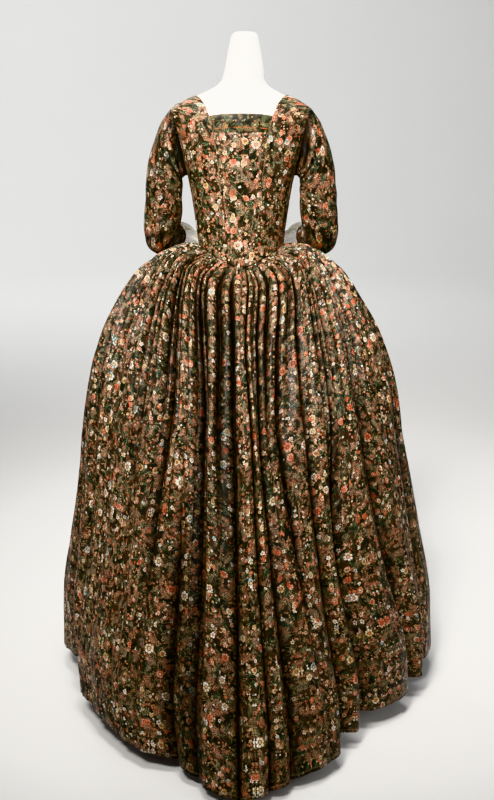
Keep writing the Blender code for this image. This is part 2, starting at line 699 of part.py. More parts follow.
def skirt_surface(first, last, thick):
    """The outside of a skirt panel between two cloth positions, or its inside where thick is set."""
    downs = column(SKIRT_RINGS, "down")

    def surface(across, up):
        level = np.rint(up * (len(downs) - 1)).astype(int)
        points = np.zeros((len(across), 3))
        for i, down in enumerate(downs):
            here = level == i
            gap = SEAM_GAP / 2 / skirt_perimeter(down)
            cloth = np.clip(first + (last - first) * across[here], first + gap, last - gap)
            share = share_of_cloth(cloth, down)
            depth = fold_depth(cloth, down)
            if thick:
                depth = depth + wall_depth(cloth, down, depth)
            points[here] = skirt_round(share, down) - depth[:, None] * skirt_normal(share, down)
        return points

    return surface


def wall_depth(cloth, down, depth):
    """How far the inside lies behind the outside, so that steep flanks keep their thickness."""
    half_pleat = 0.5 / PLEATS
    least_run = 0.1 * half_pleat
    steepest = np.zeros(len(cloth))
    for beside in (cloth - half_pleat, cloth + half_pleat):
        run = np.abs(share_of_cloth(beside, down) - share_of_cloth(cloth, down)) * skirt_perimeter(down)
        rise = np.abs(fold_depth(beside, down) - depth)
        steepest = np.maximum(steepest, rise / np.maximum(run, least_run))
    return np.minimum(SKIRT_WALL * np.sqrt(1 + steepest**2), SKIRT_WALL_MOST)


def build_skirt(side, tail, look):
    for panel in SKIRT_PANELS:
        ends = sorted((side * panel.first / PLEATS, side * panel.last / PLEATS))
        columns = 2 * (panel.last - panel.first)
        wall(
            f"{panel.name}_{tail}", columns, len(SKIRT_RINGS) - 1,
            skirt_surface(*ends, thick=False), skirt_surface(*ends, thick=True), look,
        )


def form_ring(section, angle):
    across, along = np.sin(angle), np.cos(angle)
    x = section.side * signed_power(across, 2 / section.square)
    y = np.where(along > 0, section.back, section.front) * signed_power(along, 2 / section.square)
    return np.stack([x, y, section.height + 0 * x], axis=-1)


def trunk_ring(height, angle):
    """The form under the bodice: the bodice's own section, set in clear of the cloth."""
    shoulder = np.clip((height - FORM_SHOULDER_FROM) / (FORM_SHOULDER_TO - FORM_SHOULDER_FROM), 0, 1)
    ring = body_point(angle, height + FORM_SHOULDER_DROP * shoulder + 0 * angle)
    inset = BODICE_WALL + FORM_CLEARANCE
    reach = np.linalg.norm(ring[:, :2], axis=1, keepdims=True)
    ring[:, :2] *= (reach - inset) / reach
    ring[:, 2] = height
    return ring


def build_form(look):
    rings = [lambda angle, section=section: form_ring(section, angle) for section in FORM_HIPS]
    rings += [lambda angle, height=height: trunk_ring(height, angle) for height in FORM_TRUNK_HEIGHTS]
    rings += [lambda angle, section=section: form_ring(section, angle) for section in FORM_NECK]
    mesh = grid(FORM_SIDES, len(rings) - 1, around=True)
    place_points(list(mesh.verts), tube_surface(1, rings), around=True)
    for point in mesh.verts:
        share = min(max((point.co.z - NECK_LEAN_FROM) / (NECK_LEAN_TO - NECK_LEAN_FROM), 0), 1)
        point.co.x += NECK_LEAN * share**2 * (3 - 2 * share)
    bmesh.ops.holes_fill(mesh, edges=[edge for edge in mesh.edges if edge.is_boundary], sides=0)
    return finish("form_body", mesh, look)


def build_stand(look):
    """A round base with a boss, turned in one piece, and the pole that stands in it."""
    profile = (
        (0.0, BOSS_TOP),
        (BOSS_RADIUS - 0.003, BOSS_TOP),
        (BOSS_RADIUS, BOSS_TOP - 0.003),
        (BOSS_RADIUS, BASE_THICK + 0.006),
        (BOSS_RADIUS + 0.006, BASE_THICK),
        (BASE_RADIUS - 0.004, BASE_THICK),
        (BASE_RADIUS, BASE_THICK - 0.004),
        (BASE_RADIUS, 0.0),
        (0.0, 0.0),
    )
    data = bpy.data.meshes.new("stand_base")
    data.from_pydata([(x, 0.0, z) for x, z in profile], [(i, i + 1) for i in range(len(profile) - 1)], [])
    data.materials.append(look)
    base = bpy.data.objects.new("stand_base", data)
    PARTS.objects.link(base)
    turned = base.modifiers.new("turned", "SCREW")
    turned.steps = turned.render_steps = 48
    turned.use_merge_vertices = True
    turned.merge_threshold = 1e-5
    length = FORM_FOOT - BOSS_TOP - 2 * SEAM_GAP
    bpy.ops.mesh.primitive_cylinder_add(
        vertices=24, radius=POLE_RADIUS, depth=length, location=(0, 0, BOSS_TOP + SEAM_GAP + length / 2)
    )
    pole = bpy.context.object
    pole.name = pole.data.name = "stand_pole"
    pole.data.materials.append(look)
    for old in pole.users_collection:
        old.objects.unlink(pole)
    PARTS.objects.link(pole)


for leftover in list(bpy.data.objects):
    bpy.data.objects.remove(leftover)
PARTS = parts_collection()
printed_cotton = material("printed glazed cotton", (0.085, 0.055, 0.040), 0.48, sheen=0.1)
gauze = material("ecru silk gauze", (0.72, 0.66, 0.52), 0.75)
form_cover = material("white form cover", (0.82, 0.82, 0.80), 0.62)
stand_paint = material("white painted steel", (0.78, 0.78, 0.76), 0.40)

build_stand(stand_paint)
build_form(form_cover)
build_neckband(printed_cotton)
for wearer_side, side_name in ((1, "left"), (-1, "right")):
    build_bodice(wearer_side, side_name, printed_cotton)
    build_sleeve(wearer_side, side_name, printed_cotton)
    build_frill(wearer_side, side_name, gauze)
    build_skirt(wearer_side, side_name, printed_cotton)
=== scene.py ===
import math
from collections import namedtuple

import bmesh
import bpy
import numpy as np
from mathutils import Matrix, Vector


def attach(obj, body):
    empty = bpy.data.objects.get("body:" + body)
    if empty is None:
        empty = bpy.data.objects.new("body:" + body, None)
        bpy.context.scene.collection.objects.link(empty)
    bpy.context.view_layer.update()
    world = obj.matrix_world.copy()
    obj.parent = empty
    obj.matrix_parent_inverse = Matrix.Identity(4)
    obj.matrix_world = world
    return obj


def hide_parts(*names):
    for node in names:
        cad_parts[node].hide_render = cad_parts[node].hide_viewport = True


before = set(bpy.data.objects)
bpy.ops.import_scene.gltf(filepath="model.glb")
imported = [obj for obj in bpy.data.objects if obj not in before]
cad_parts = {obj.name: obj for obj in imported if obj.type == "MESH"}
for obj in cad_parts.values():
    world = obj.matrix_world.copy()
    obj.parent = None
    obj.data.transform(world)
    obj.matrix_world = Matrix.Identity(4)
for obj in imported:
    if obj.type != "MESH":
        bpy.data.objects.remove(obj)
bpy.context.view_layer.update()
print("frame loaded")

# sizes shared by every piece of the gown, in metres
gown = {
    "seamGap": 0.00006,
    "waistGap": 0.0008,
    "sleeveGap": 0.0005,
    "bodiceWall": 0.0011,
    "sleeveWall": 0.0011,
    "skirtWall": 0.0007,
    "frillWall": 0.0004,
    "clothWidth": 3.5,  # the skirt's cloth, all round
}


def tableOf(kind, rows):
    return [kind(*row) for row in rows]


def column(rows, name):
    return [getattr(row, name) for row in rows]


Section = namedtuple("Section", "height side back front square", defaults=(2.0,))
bodySections = tableOf(Section, (
    (0.94, 0.0945, 0.085, 0.094, 2.0),
    (1.005, 0.094, 0.085, 0.094, 2.0),
    (1.05, 0.0995, 0.0865, 0.103, 2.06),
    (1.1, 0.1065, 0.089, 0.115, 2.15),
    (1.144, 0.1146, 0.0925, 0.126, 2.22),
    (1.176, 0.1227, 0.0945, 0.13, 2.3),
    (1.222, 0.135, 0.095, 0.113, 2.42),
    (1.25, 0.143, 0.0925, 0.098, 2.5),
    (1.276, 0.151, 0.088, 0.086, 2.55),
    (1.29, 0.1535, 0.081, 0.077, 2.45),
    (1.3, 0.143, 0.075, 0.071, 2.35),
    (1.31, 0.126, 0.069, 0.066, 2.25),
    (1.322, 0.101, 0.063, 0.061, 2.1),
    (1.335, 0.074, 0.056, 0.056, 2.0),
))


def between(u, span, start, startSlope, end, endSlope):
    # a smooth curve from start to end, with a slope at each
    near = (2 * u**3 - 3 * u**2 + 1) * start + (u**3 - 2 * u**2 + u) * span * startSlope
    return near + ((3 * u**2 - 2 * u**3) * end + (u**3 - u**2) * span * endSlope)


def smoothThrough(places, values, at):
    # values read from a smooth curve through the rows that never overshoots them
    places, values = np.asarray(places, float), np.asarray(values, float)
    at = np.clip(np.asarray(at, float), places[0], places[-1])
    steps = np.diff(places)
    slopes = np.diff(values) / steps
    tangents = np.concatenate([slopes[:1], np.zeros(len(places) - 2), slopes[-1:]])
    for i in range(1, len(places) - 1):
        if slopes[i - 1] * slopes[i] > 0:
            before, after = 2 * steps[i] + steps[i - 1], steps[i] + 2 * steps[i - 1]
            tangents[i] = (before + after) / (before / slopes[i - 1] + after / slopes[i])
    i = np.clip(np.searchsorted(places, at) - 1, 0, len(steps) - 1)
    span = steps[i]
    return between((at - places[i]) / span, span, values[i], tangents[i], values[i + 1], tangents[i + 1])


def signedPower(value, power):
    return np.sign(value) * np.abs(value) ** power


def unit(vectors):
    return vectors / np.linalg.norm(vectors, axis=-1, keepdims=True)


def oval(turn, side, back, front, power, height):
    # turn runs from the centre back, positive to the wearer's left
    across, along = np.sin(turn), np.cos(turn)
    x = side * signedPower(across, power)
    y = np.where(along > 0, back, front) * signedPower(along, power)
    return np.stack([x, y, height + 0 * x], axis=-1)


def bodyPoint(turn, height):
    # a point of the bodice's outside
    heights = column(bodySections, "height")
    side, back, front, square = (
        smoothThrough(heights, column(bodySections, name), height) for name in Section._fields[1:]
    )
    return oval(turn, side, back, front, 2 / square, height)


def bodyNormal(turn, height):
    stepTurn, stepHeight = 0.01, 0.002
    around = bodyPoint(turn + stepTurn, height) - bodyPoint(turn - stepTurn, height)
    up = bodyPoint(turn, height + stepHeight) - bodyPoint(turn, height - stepHeight)
    return unit(np.cross(up, around))


def ripple(u, v, seed, longU, longV, waves=14):
    # a seeded unevenness from a few crossing waves, about -1 to 1
    draw = np.random.default_rng(seed)
    total = 0.0
    for _ in range(waves):
        perU, perV = draw.normal(0, 1 / longU), draw.normal(0, 1 / longV)
        total = total + np.sin(2 * math.pi * (u * perU + v * perV + draw.random()))
    return total / math.sqrt(waves)


# A crease runs from one place to another on the cloth; deep is positive for a ridge
Crease = namedtuple("Crease", "u0 v0 u1 v1 wide deep")


def creaseRise(u, v, creases):
    rise = 0.0 * u
    for crease in creases:
        run = np.array([crease.u1 - crease.u0, crease.v1 - crease.v0])
        length = np.hypot(*run)
        share = ((u - crease.u0) * run[0] + (v - crease.v0) * run[1]) / length**2
        held = np.clip(share, 0, 1)
        away = np.hypot(u - crease.u0 - held * run[0], v - crease.v0 - held * run[1])
        taper = np.sin(math.pi * np.clip(0.08 + 0.84 * held, 0, 1)) ** 0.7
        rise = rise + crease.deep * taper * np.exp(-((away / crease.wide) ** 2))
    return rise


def runAlong(points, axis):
    # the distance along a grid of points from its first row or column
    steps = np.linalg.norm(np.diff(points, axis=axis), axis=-1)
    start = np.zeros_like(steps[:1] if axis == 0 else steps[:, :1])
    return np.concatenate([start, np.cumsum(steps, axis=axis)], axis=axis)


def facePlaces(u, v, start=0.0):
    # cloth places for the two sides of each column of faces, from places at the points
    sides = [np.stack([start + u[:, part], v[:, part]], axis=-1) for part in (slice(-1), slice(1, None))]
    return np.stack(sides, axis=2)


def grid(rows, columns):
    return np.linspace(0, 1, rows + 1)[:, None], np.linspace(0, 1, columns + 1)[None, :]


def linked(name, data):
    made = bpy.data.objects.new(name, data)
    bpy.context.scene.collection.objects.link(made)
    return made


def gridNormals(points):
    return np.cross(points[:-1, 1:] - points[:-1, :-1], points[1:, :-1] - points[:-1, :-1])


def clothObject(name, points, places, middles, edge, looks, wall, hollow=None, rolled=False):
    # points is rows by columns; places holds cloth metres for each face column's two sides;
    # middles are points inside each row; edge is the distance from the stitched edge and along it;
    # hollow is the share of painted shade kept in the fold map, 0 on a ridge and 1 deep in a fold
    rows, columns = points.shape[0] - 1, points.shape[1] - 1
    mesh = bmesh.new()
    bmesh.ops.create_grid(mesh, x_segments=columns, y_segments=rows, size=0.5)
    data = bpy.data.meshes.new(name)
    mesh.to_mesh(data)
    mesh.free()
    held = np.zeros(len(data.vertices) * 3, np.float32)
    data.vertices.foreach_get("co", held)
    col = np.rint((held[0::3] + 0.5) * columns).astype(int)
    row = np.rint((held[1::3] + 0.5) * rows).astype(int)
    data.vertices.foreach_set("co", points[row, col].astype(np.float32).ravel())
    corner = np.zeros(len(data.loops), np.int32)
    data.loops.foreach_get("vertex_index", corner)
    faceCol = col[corner].reshape(-1, 4).min(axis=1).repeat(4)
    row, col = row[corner], col[corner]
    # the fold map holds painted shade for the material
    depth = 0 * points[..., 0] if hollow is None else hollow
    for layerName, values in (("cloth", places[row, faceCol, col - faceCol]),
                              ("edge", np.stack(edge, axis=-1)[row, col]),
                              ("fold", np.stack([depth, depth], axis=-1)[row, col])):
        layer = data.uv_layers.new(name=layerName)
        layer.data.foreach_set("uv", values.astype(np.float32).ravel())
    data.uv_layers.active = data.uv_layers["cloth"]
    if rolled:
        mesh = bmesh.new()
        mesh.from_mesh(data)
        bmesh.ops.remove_doubles(mesh, verts=mesh.verts, dist=1e-6)
        mesh.to_mesh(data)
        mesh.free()
    if np.sum(gridNormals(points) * (points[:-1, :-1] - middles[:-1, None])) < 0:
        data.flip_normals()
    data.shade_smooth()
    for look in looks:
        data.materials.append(look)
    made = linked(name, data)
    if wall:
        thick = made.modifiers.new("cloth wall", "SOLIDIFY")
        thick.thickness, thick.offset = wall, -1
        thick.material_offset, thick.material_offset_rim = len(looks) - 1, 0
    return made


def flatSize(around, up):
    return round(float(np.max(around)), 3), round(float(np.max(up)), 3)


def dress(piece, node, flat, shown=None):
    # shown is the grid of points whose area the cloth has
    area = None
    if shown is not None:
        area = round(float(np.linalg.norm(gridNormals(shown), axis=-1).sum()), 4)
        area = min(area, round(flat[0] * flat[1], 4))
    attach(piece, "root")
    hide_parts(node)


class Wire:
    # a node's output; sums of wires make math nodes in its tree
    def __init__(self, socket):
        self.socket = socket

    def __add__(self, other):
        return reckon("ADD", self, other)

    def __sub__(self, other):
        return reckon("SUBTRACT", self, other)

    def __rsub__(self, other):
        return reckon("SUBTRACT", other, self)

    def __mul__(self, other):
        return reckon("MULTIPLY", self, other)

    def __truediv__(self, other):
        return reckon("DIVIDE", self, other)

    def __abs__(self):
        return reckon("ABSOLUTE", self)


def nodeBy(values, kind):
    # a new node in the tree of the first wire among the values
    first = next(value for value in values if isinstance(value, Wire))
    return first.socket.id_data.nodes.new(kind)


def feed(socket, value):
    if isinstance(value, Wire):
        socket.id_data.links.new(value.socket, socket)
    else:
        socket.default_value = (*value, 1.0) if socket.type == "RGBA" else value


def feedAll(node, *values):
    for socket, value in zip(node.inputs, values):
        feed(socket, value)
    return node


def reckon(how, *values):
    first = next(value for value in values if isinstance(value, Wire))
    node = nodeBy(values, "ShaderNodeMath" if first.socket.type == "VALUE" else "ShaderNodeVectorMath")
    node.operation = how
    return Wire(feedAll(node, *values).outputs[1 if how == "LENGTH" else 0])


def overlay(share, under, over, how="MIX"):
    node = nodeBy((share, under, over), "ShaderNodeMix")
    node.data_type, node.blend_type = "RGBA", how
    feed(node.inputs["Factor"], share)
    feed(node.inputs[6], under)
    feed(node.inputs[7], over)
    return Wire(node.outputs[2])


def ease(value, low, high, fromValue=0.0, toValue=1.0):
    node = nodeBy((value, low, high, fromValue, toValue), "ShaderNodeMapRange")
    node.interpolation_type = "SMOOTHSTEP"
    return Wire(feedAll(node, value, low, high, fromValue, toValue).outputs["Result"])


def pick(value, colours):
    # one of several colours, in equal shares of a value from 0 to 1
    node = nodeBy((value,), "ShaderNodeValToRGB")
    node.color_ramp.interpolation = "CONSTANT"
    stops = node.color_ramp.elements
    while len(stops) < len(colours):
        stops.new(1.0)
    for i, colour in enumerate(colours):
        stops[i].position = i / len(colours)
        stops[i].color = (*colour, 1.0)
    return Wire(feedAll(node, value).outputs["Color"])


def noiseOf(place, scale, detail=2.0, flat=True, out="Fac"):
    node = nodeBy((place,), "ShaderNodeTexNoise")
    node.noise_dimensions = "2D" if flat else "3D"
    for name, value in (("Vector", place), ("Scale", scale), ("Detail", detail)):
        feed(node.inputs[name], value)
    return Wire(node.outputs[out])


def parts(vector):
    return [Wire(out) for out in feedAll(nodeBy((vector,), "ShaderNodeSeparateXYZ"), vector).outputs]


def spun(vector, angle):
    node = nodeBy((vector,), "ShaderNodeVectorRotate")
    node.rotation_type = "Z_AXIS"
    feed(node.inputs["Vector"], vector)
    feed(node.inputs["Angle"], angle)
    return Wire(node.outputs[0])


def cellsOf(place, look):
    # scattered spots: the offset from the nearest one, its own place, and three random numbers for it
    size = look.cell
    spread = (place + (look.shift, look.shift * 0.37, 0.0)) * (1 / size, 1 / size, 0.0)
    node = nodeBy((place,), "ShaderNodeTexVoronoi")
    node.voronoi_dimensions = "2D"
    for name, value in (("Vector", spread), ("Scale", 1.0), ("Randomness", look.loose)):
        feed(node.inputs[name], value)
    middle, real = Wire(node.outputs["Position"]), (size, size, 0.0)
    return (spread - middle) * real, middle * real, parts(Wire(node.outputs["Color"]))


def leafLayer(place, under, look):
    offset, _, (first, second, third) = cellsOf(place, look)
    x, y, _ = parts(spun(offset, first * 6.283))
    x, y = x / look.long, abs(y / look.wide)
    teeth = abs(reckon("SINE", x * look.teeth))
    rim = (1.0 - x * x) * ease(teeth, 0.0, 1.0, 1 - look.jag, 1.0)
    mask = reckon("LESS_THAN", y, rim) * reckon("LESS_THAN", second, look.share)
    vein = ease(reckon("SINE", x * look.veins + y * (-look.veins * 0.45)), -0.1, 0.8)
    colour = pick(third, look.colours)
    dark = overlay(1.0, colour, dusk, "MULTIPLY")
    lit = overlay(ease(rim - y, 0.0, 0.16), dark, overlay(vein, dark, colour))
    lit = overlay(reckon("LESS_THAN", y, 0.07) * 0.7, lit, look.rib)
    return overlay(mask, under, lit)


def flowerLayer(place, under, look):
    offset, middle, (first, second, third) = cellsOf(place, look)
    x, y, _ = parts(offset)
    angle = reckon("ARCTAN2", y, x) + second * 40.0
    lobe = abs(reckon("COSINE", angle * (look.petals / 2)))
    rim = ease(lobe, 0.0, look.round, 1 - look.notch, 1.0)
    reach = reckon("LENGTH", offset) / ease(second, 0.0, 1.0, look.least, look.most) / rim
    crowd = cottonLook["crowding"]
    chance = ease(noiseOf(middle, look.clusters, 1.0), 0.38, 0.62, look.share * (1 - crowd),
                  look.share * (1 + crowd))
    mask = ease(reach, 1.0, 0.84) * reckon("LESS_THAN", first, chance)
    lean = reckon("COSINE", angle) * reach
    petal = overlay(ease(lean, -0.5, 0.6), pick(third, look.colours), pick(third, look.tips))
    gap = ease(lobe, 0.08, 0.55, look.parted, 0.0) * ease(reach, 0.2, 0.45)
    petal = overlay(gap, petal, lineBrown)
    ring = ease(reach, 0.26, 0.34) * ease(reach, 0.56, 0.44)
    petal = overlay(ring * look.ring, petal, lineBrown)
    petal = overlay(ease(reach, 0.34, 0.26), petal, pick(third, look.hearts))
    return overlay(mask, under, petal)


print("helpers ready")

# the printed cotton
cottonLook = {
    "ground": (0.0075, 0.0090, 0.0045),
    "groundWarm": (0.042, 0.024, 0.012),
    "roughness": 0.50,
    "gloss": 0.14,
    "thread": 0.0007,
    "crinkle": 0.0009,
    # how dark the painted shade deep in a fold gets, 0 to 1
    "hollowShade": 0.94,
    "crowding": 0.75,  # 0 to 1, how far the flowers gather in clusters
    "waver": 0.0048,  # how far the drawing strays from true
}
dusk, lineBrown = (0.20, 0.19, 0.15), (0.050, 0.022, 0.012)
Leaf = namedtuple("Leaf", "cell loose shift long wide teeth jag share veins rib colours")
leafLooks = tableOf(Leaf, (
    (0.029, 0.8, 3.1, 0.0170, 0.0100, 16.0, 0.45, 0.97, 30.0, (0.40, 0.26, 0.16),
     ((0.41, 0.215, 0.150), (0.20, 0.185, 0.120), (0.44, 0.265, 0.195), (0.065, 0.105, 0.070),
      (0.36, 0.275, 0.195), (0.46, 0.205, 0.135))),
    (0.0185, 0.9, 7.7, 0.0105, 0.0056, 11.0, 0.45, 0.84, 17.0, (0.36, 0.28, 0.16),
     ((0.050, 0.105, 0.065), (0.40, 0.205, 0.145), (0.185, 0.195, 0.120), (0.010, 0.015, 0.010),
      (0.32, 0.285, 0.205), (0.46, 0.250, 0.180))),
    (0.0088, 1.0, 1.9, 0.0056, 0.0026, 5.0, 0.3, 0.76, 9.0, (0.44, 0.32, 0.18),
     ((0.46, 0.35, 0.200), (0.050, 0.090, 0.055), (0.58, 0.290, 0.185), (0.008, 0.009, 0.006),
      (0.22, 0.235, 0.160), (0.012, 0.014, 0.009))),
))
coral, salmon, cream = (0.60, 0.165, 0.090), (0.68, 0.34, 0.23), (0.76, 0.62, 0.42)
yellow, white, paleBlue = (0.56, 0.42, 0.18), (0.84, 0.80, 0.70), (0.32, 0.45, 0.47)
rust, brownRed = (0.42, 0.085, 0.035), (0.22, 0.060, 0.028)
Flower = namedtuple("Flower", "cell shift petals round notch parted ring least most share clusters loose "
                              "colours hearts tips")
flowerLooks = tableOf(Flower, (
    (0.0078, 11.3, 5, 0.9, 0.50, 0.4, 0.3, 0.0014, 0.0028, 0.27, 16.0, 1.0,
     (coral, yellow, salmon, rust, cream, white), (rust, brownRed, cream),
     (salmon, cream, salmon, coral, white)),
    (0.0150, 5.3, 5, 0.75, 0.66, 0.75, 0.55, 0.0034, 0.0056, 0.20, 13.0, 1.0,
     (white, salmon, cream, paleBlue, white, coral, salmon, yellow),
     (yellow, brownRed, rust, yellow, coral), (white, cream, white, coral, cream)),
    (0.0235, 9.1, 9, 0.6, 0.50, 0.95, 0.90, 0.0050, 0.0078, 0.18, 9.0, 1.0,
     (coral, rust, salmon, yellow, coral, cream), (cream, coral, rust, yellow),
     (salmon, coral, cream, cream)),
    (0.0420, 2.3, 7, 0.7, 0.36, 0.90, 0.95, 0.0072, 0.0104, 0.21, 6.0, 0.95,
     (cream, white, coral, yellow, paleBlue), (yellow, salmon, rust, coral, yellow),
     (white, cream, salmon, cream, white)),
))


def uvOf(tree, name):
    node = tree.nodes.new("ShaderNodeUVMap")
    node.uv_map = name
    return Wire(node.outputs["UV"])


def weaveHeight(place, thread):
    # a plain weave: crossing threads whose tops stand up in turn
    warp, weft = (reckon("SINE", way * (math.pi / thread)) for way in parts(place)[:2])
    return abs(warp * weft)


def stitchMask(tree):
    # a row of small running stitches beside the stitched edge
    away, along, _ = parts(uvOf(tree, "edge"))
    beat = reckon("FRACT", along / 0.0034)
    return ease(abs(away - 0.0024), 0.00045, 0.00020) * ease(beat, 0.52, 0.62, 1.0, 0.0)


def foldShade(tree):
    # painted shade: cloth deep in a fold or crease is darkened as if shade fell there
    share = ease(parts(uvOf(tree, "fold"))[0], 0.10, 1.0, 0.0, cottonLook["hollowShade"])
    return overlay(share, (1.0, 1.0, 1.0), (0.02, 0.02, 0.02))


def bumpOf(height, strength, distance, under=None):
    node = nodeBy((height,), "ShaderNodeBump")
    for name, value in (("Strength", strength), ("Distance", distance), ("Height", height)):
        feed(node.inputs[name], value)
    if under is not None:
        feed(node.inputs["Normal"], under)
    return Wire(node.outputs["Normal"])


def newMaterial(name, roughness, sheen=0.0):
    made = bpy.data.materials.new(name)
    made.use_nodes = True
    shader = made.node_tree.nodes["Principled BSDF"]
    for socket, value in (("Roughness", roughness), ("Sheen Weight", sheen), ("Sheen Roughness", 0.5)):
        shader.inputs[socket].default_value = value
    return made, made.node_tree, shader


def printedLine(tree, place):
    # one thin coral line along the foot of the band, broken here and there
    away = parts(uvOf(tree, "edge"))[0]
    worn = ease(noiseOf(place, 120.0, 1.0), 0.40, 0.62, 0.1, 0.8)
    return ease(abs(away - 0.0300), 0.0009, 0.0004) * worn


def makePrint(name, deepen, flowers=1.0, band=False):
    rough = cottonLook["roughness"]
    made, tree, shader = newMaterial(name, rough)
    shader.inputs["Specular IOR Level"].default_value = cottonLook["gloss"]
    place = uvOf(tree, "cloth")
    if band:
        place = spun(place, math.radians(90))
    waver = (cottonLook["waver"], cottonLook["waver"], 0.0)
    drawn = place + (noiseOf(place, 110.0, 1.0, out="Color") - (0.5, 0.5, 0.5)) * waver
    warm = ease(noiseOf(place, 38.0), 0.42, 0.62)
    colour = overlay(warm, cottonLook["ground"], cottonLook["groundWarm"])
    for look in leafLooks:
        colour = leafLayer(drawn, colour, look)
    fleck = ease(noiseOf(place, 420.0), 0.52, 0.60, 0.0, 0.45)
    colour = overlay(fleck, colour, (0.012, 0.010, 0.005))
    for look in flowerLooks:
        colour = flowerLayer(drawn, colour, look._replace(share=look.share * flowers))
    # deepen sets the print's tone; in the skirt's and sleeves' copies it also holds painted shade
    colour = overlay(1.0, colour, deepen, "MULTIPLY")
    if band:
        colour = overlay(printedLine(tree, place), colour, (0.36, 0.09, 0.03))
    # painted shade in the folds and creases, read from the fold map
    colour = overlay(1.0, colour, foldShade(tree), "MULTIPLY")
    stitches = stitchMask(tree)
    feed(shader.inputs["Base Color"], overlay(stitches * 0.6, colour, (0.22, 0.17, 0.11)))
    # the glaze is worn unevenly
    feed(shader.inputs["Roughness"], ease(noiseOf(place, 22.0, 3.0), 0.3, 0.7, rough - 0.06, rough + 0.12))
    soft = bumpOf(noiseOf(place * (1.0, 0.16, 1.0), 150.0, 3.0), 0.45, cottonLook["crinkle"])
    woven = bumpOf(weaveHeight(place, cottonLook["thread"]), 0.25, 0.00012, soft)
    feed(shader.inputs["Normal"], bumpOf(stitches, 0.6, 0.0003, woven))
    return made


def makePlain(name, colour, second, roughness, thread):
    # linen, and the back of the print
    made, tree, shader = newMaterial(name, roughness, 0.1)
    place = uvOf(tree, "cloth")
    uneven = ease(noiseOf(place * (1.0, 0.12, 1.0), 180.0, 3.0), 0.35, 0.68)
    mottle = ease(noiseOf(place, 45.0), 0.35, 0.65, 0.0, 0.5)
    tone = overlay(mottle, overlay(uneven, colour, second), [0.7 * c for c in second])
    feed(shader.inputs["Base Color"], tone)
    slubs = bumpOf(uneven, 0.3, 0.0004)
    feed(shader.inputs["Normal"], bumpOf(weaveHeight(place, thread), 0.5, 0.0003, slubs))
    return made


flowered = makePrint("flowered glazed cotton", (0.86, 0.82, 0.79))
floweredBand = makePrint("flowered cotton cut crosswise", (0.38, 0.46, 0.33), 0.3, True)
# the skirt and the sleeves have darker copies of the same print: painted shade
shadedSkirtCotton = makePrint("flowered cotton of the skirt in painted shade", (0.68, 0.65, 0.63))
shadedSleeveCotton = makePrint("flowered cotton of the sleeves in painted shade", (0.57, 0.545, 0.52))
printBack = makePlain("back of the print", (0.17, 0.115, 0.08), (0.30, 0.21, 0.15), 0.8, 0.0007)
linen = makePlain("linen lining", (0.52, 0.45, 0.34), (0.64, 0.57, 0.45), 0.85, 0.0009)
print("cloth materials made")

# the skirt
Ring = namedtuple("Ring", "down side lean back front zSide zBack zFront point")
skirtRings = tableOf(Ring, (
    (0.0, 0.0925, 0.0, 0.0835, 0.0925, 1.0025, 0.9565, 0.9595, 2.0),
    (0.03, 0.115, 0.0, 0.103, 0.106, 1.0075, 0.9515, 0.9555, 2.0),
    (0.07, 0.143, 0.0, 0.129, 0.122, 1.008, 0.945, 0.949, 1.95),
    (0.11, 0.172, 0.0, 0.165, 0.142, 0.999, 0.933, 0.936, 1.92),
    (0.15, 0.201, 0.0, 0.204, 0.164, 0.977, 0.912, 0.913, 1.88),
    (0.2, 0.235, 0.001, 0.248, 0.186, 0.943, 0.878, 0.88, 1.84),
    (0.27, 0.273, 0.003, 0.298, 0.208, 0.888, 0.825, 0.826, 1.8),
    (0.36, 0.32, 0.003, 0.348, 0.229, 0.802, 0.743, 0.745, 1.76),
    (0.47, 0.354, 0.0, 0.398, 0.249, 0.693, 0.64, 0.648, 1.72),
    (0.58, 0.373, -0.002, 0.445, 0.269, 0.58, 0.528, 0.536, 1.66),
    (0.69, 0.393, -0.008, 0.497, 0.291, 0.458, 0.407, 0.414, 1.61),
    (0.8, 0.4165, -0.0095, 0.552, 0.314, 0.325, 0.282, 0.288, 1.57),
    (0.9, 0.4385, -0.0105, 0.604, 0.336, 0.19, 0.155, 0.168, 1.56),
    (1.0, 0.442, -0.013, 0.67, 0.359, 0.058, 0.03, 0.045, 1.44),
))
pleatLevels = (0.0, 0.05, 0.12, 0.22, 0.34, 0.5, 0.7, 1.0)
pleatDepths = (0.0008, 0.008, 0.0145, 0.0165, 0.0115, 0.0048, 0.0024, 0.0016)
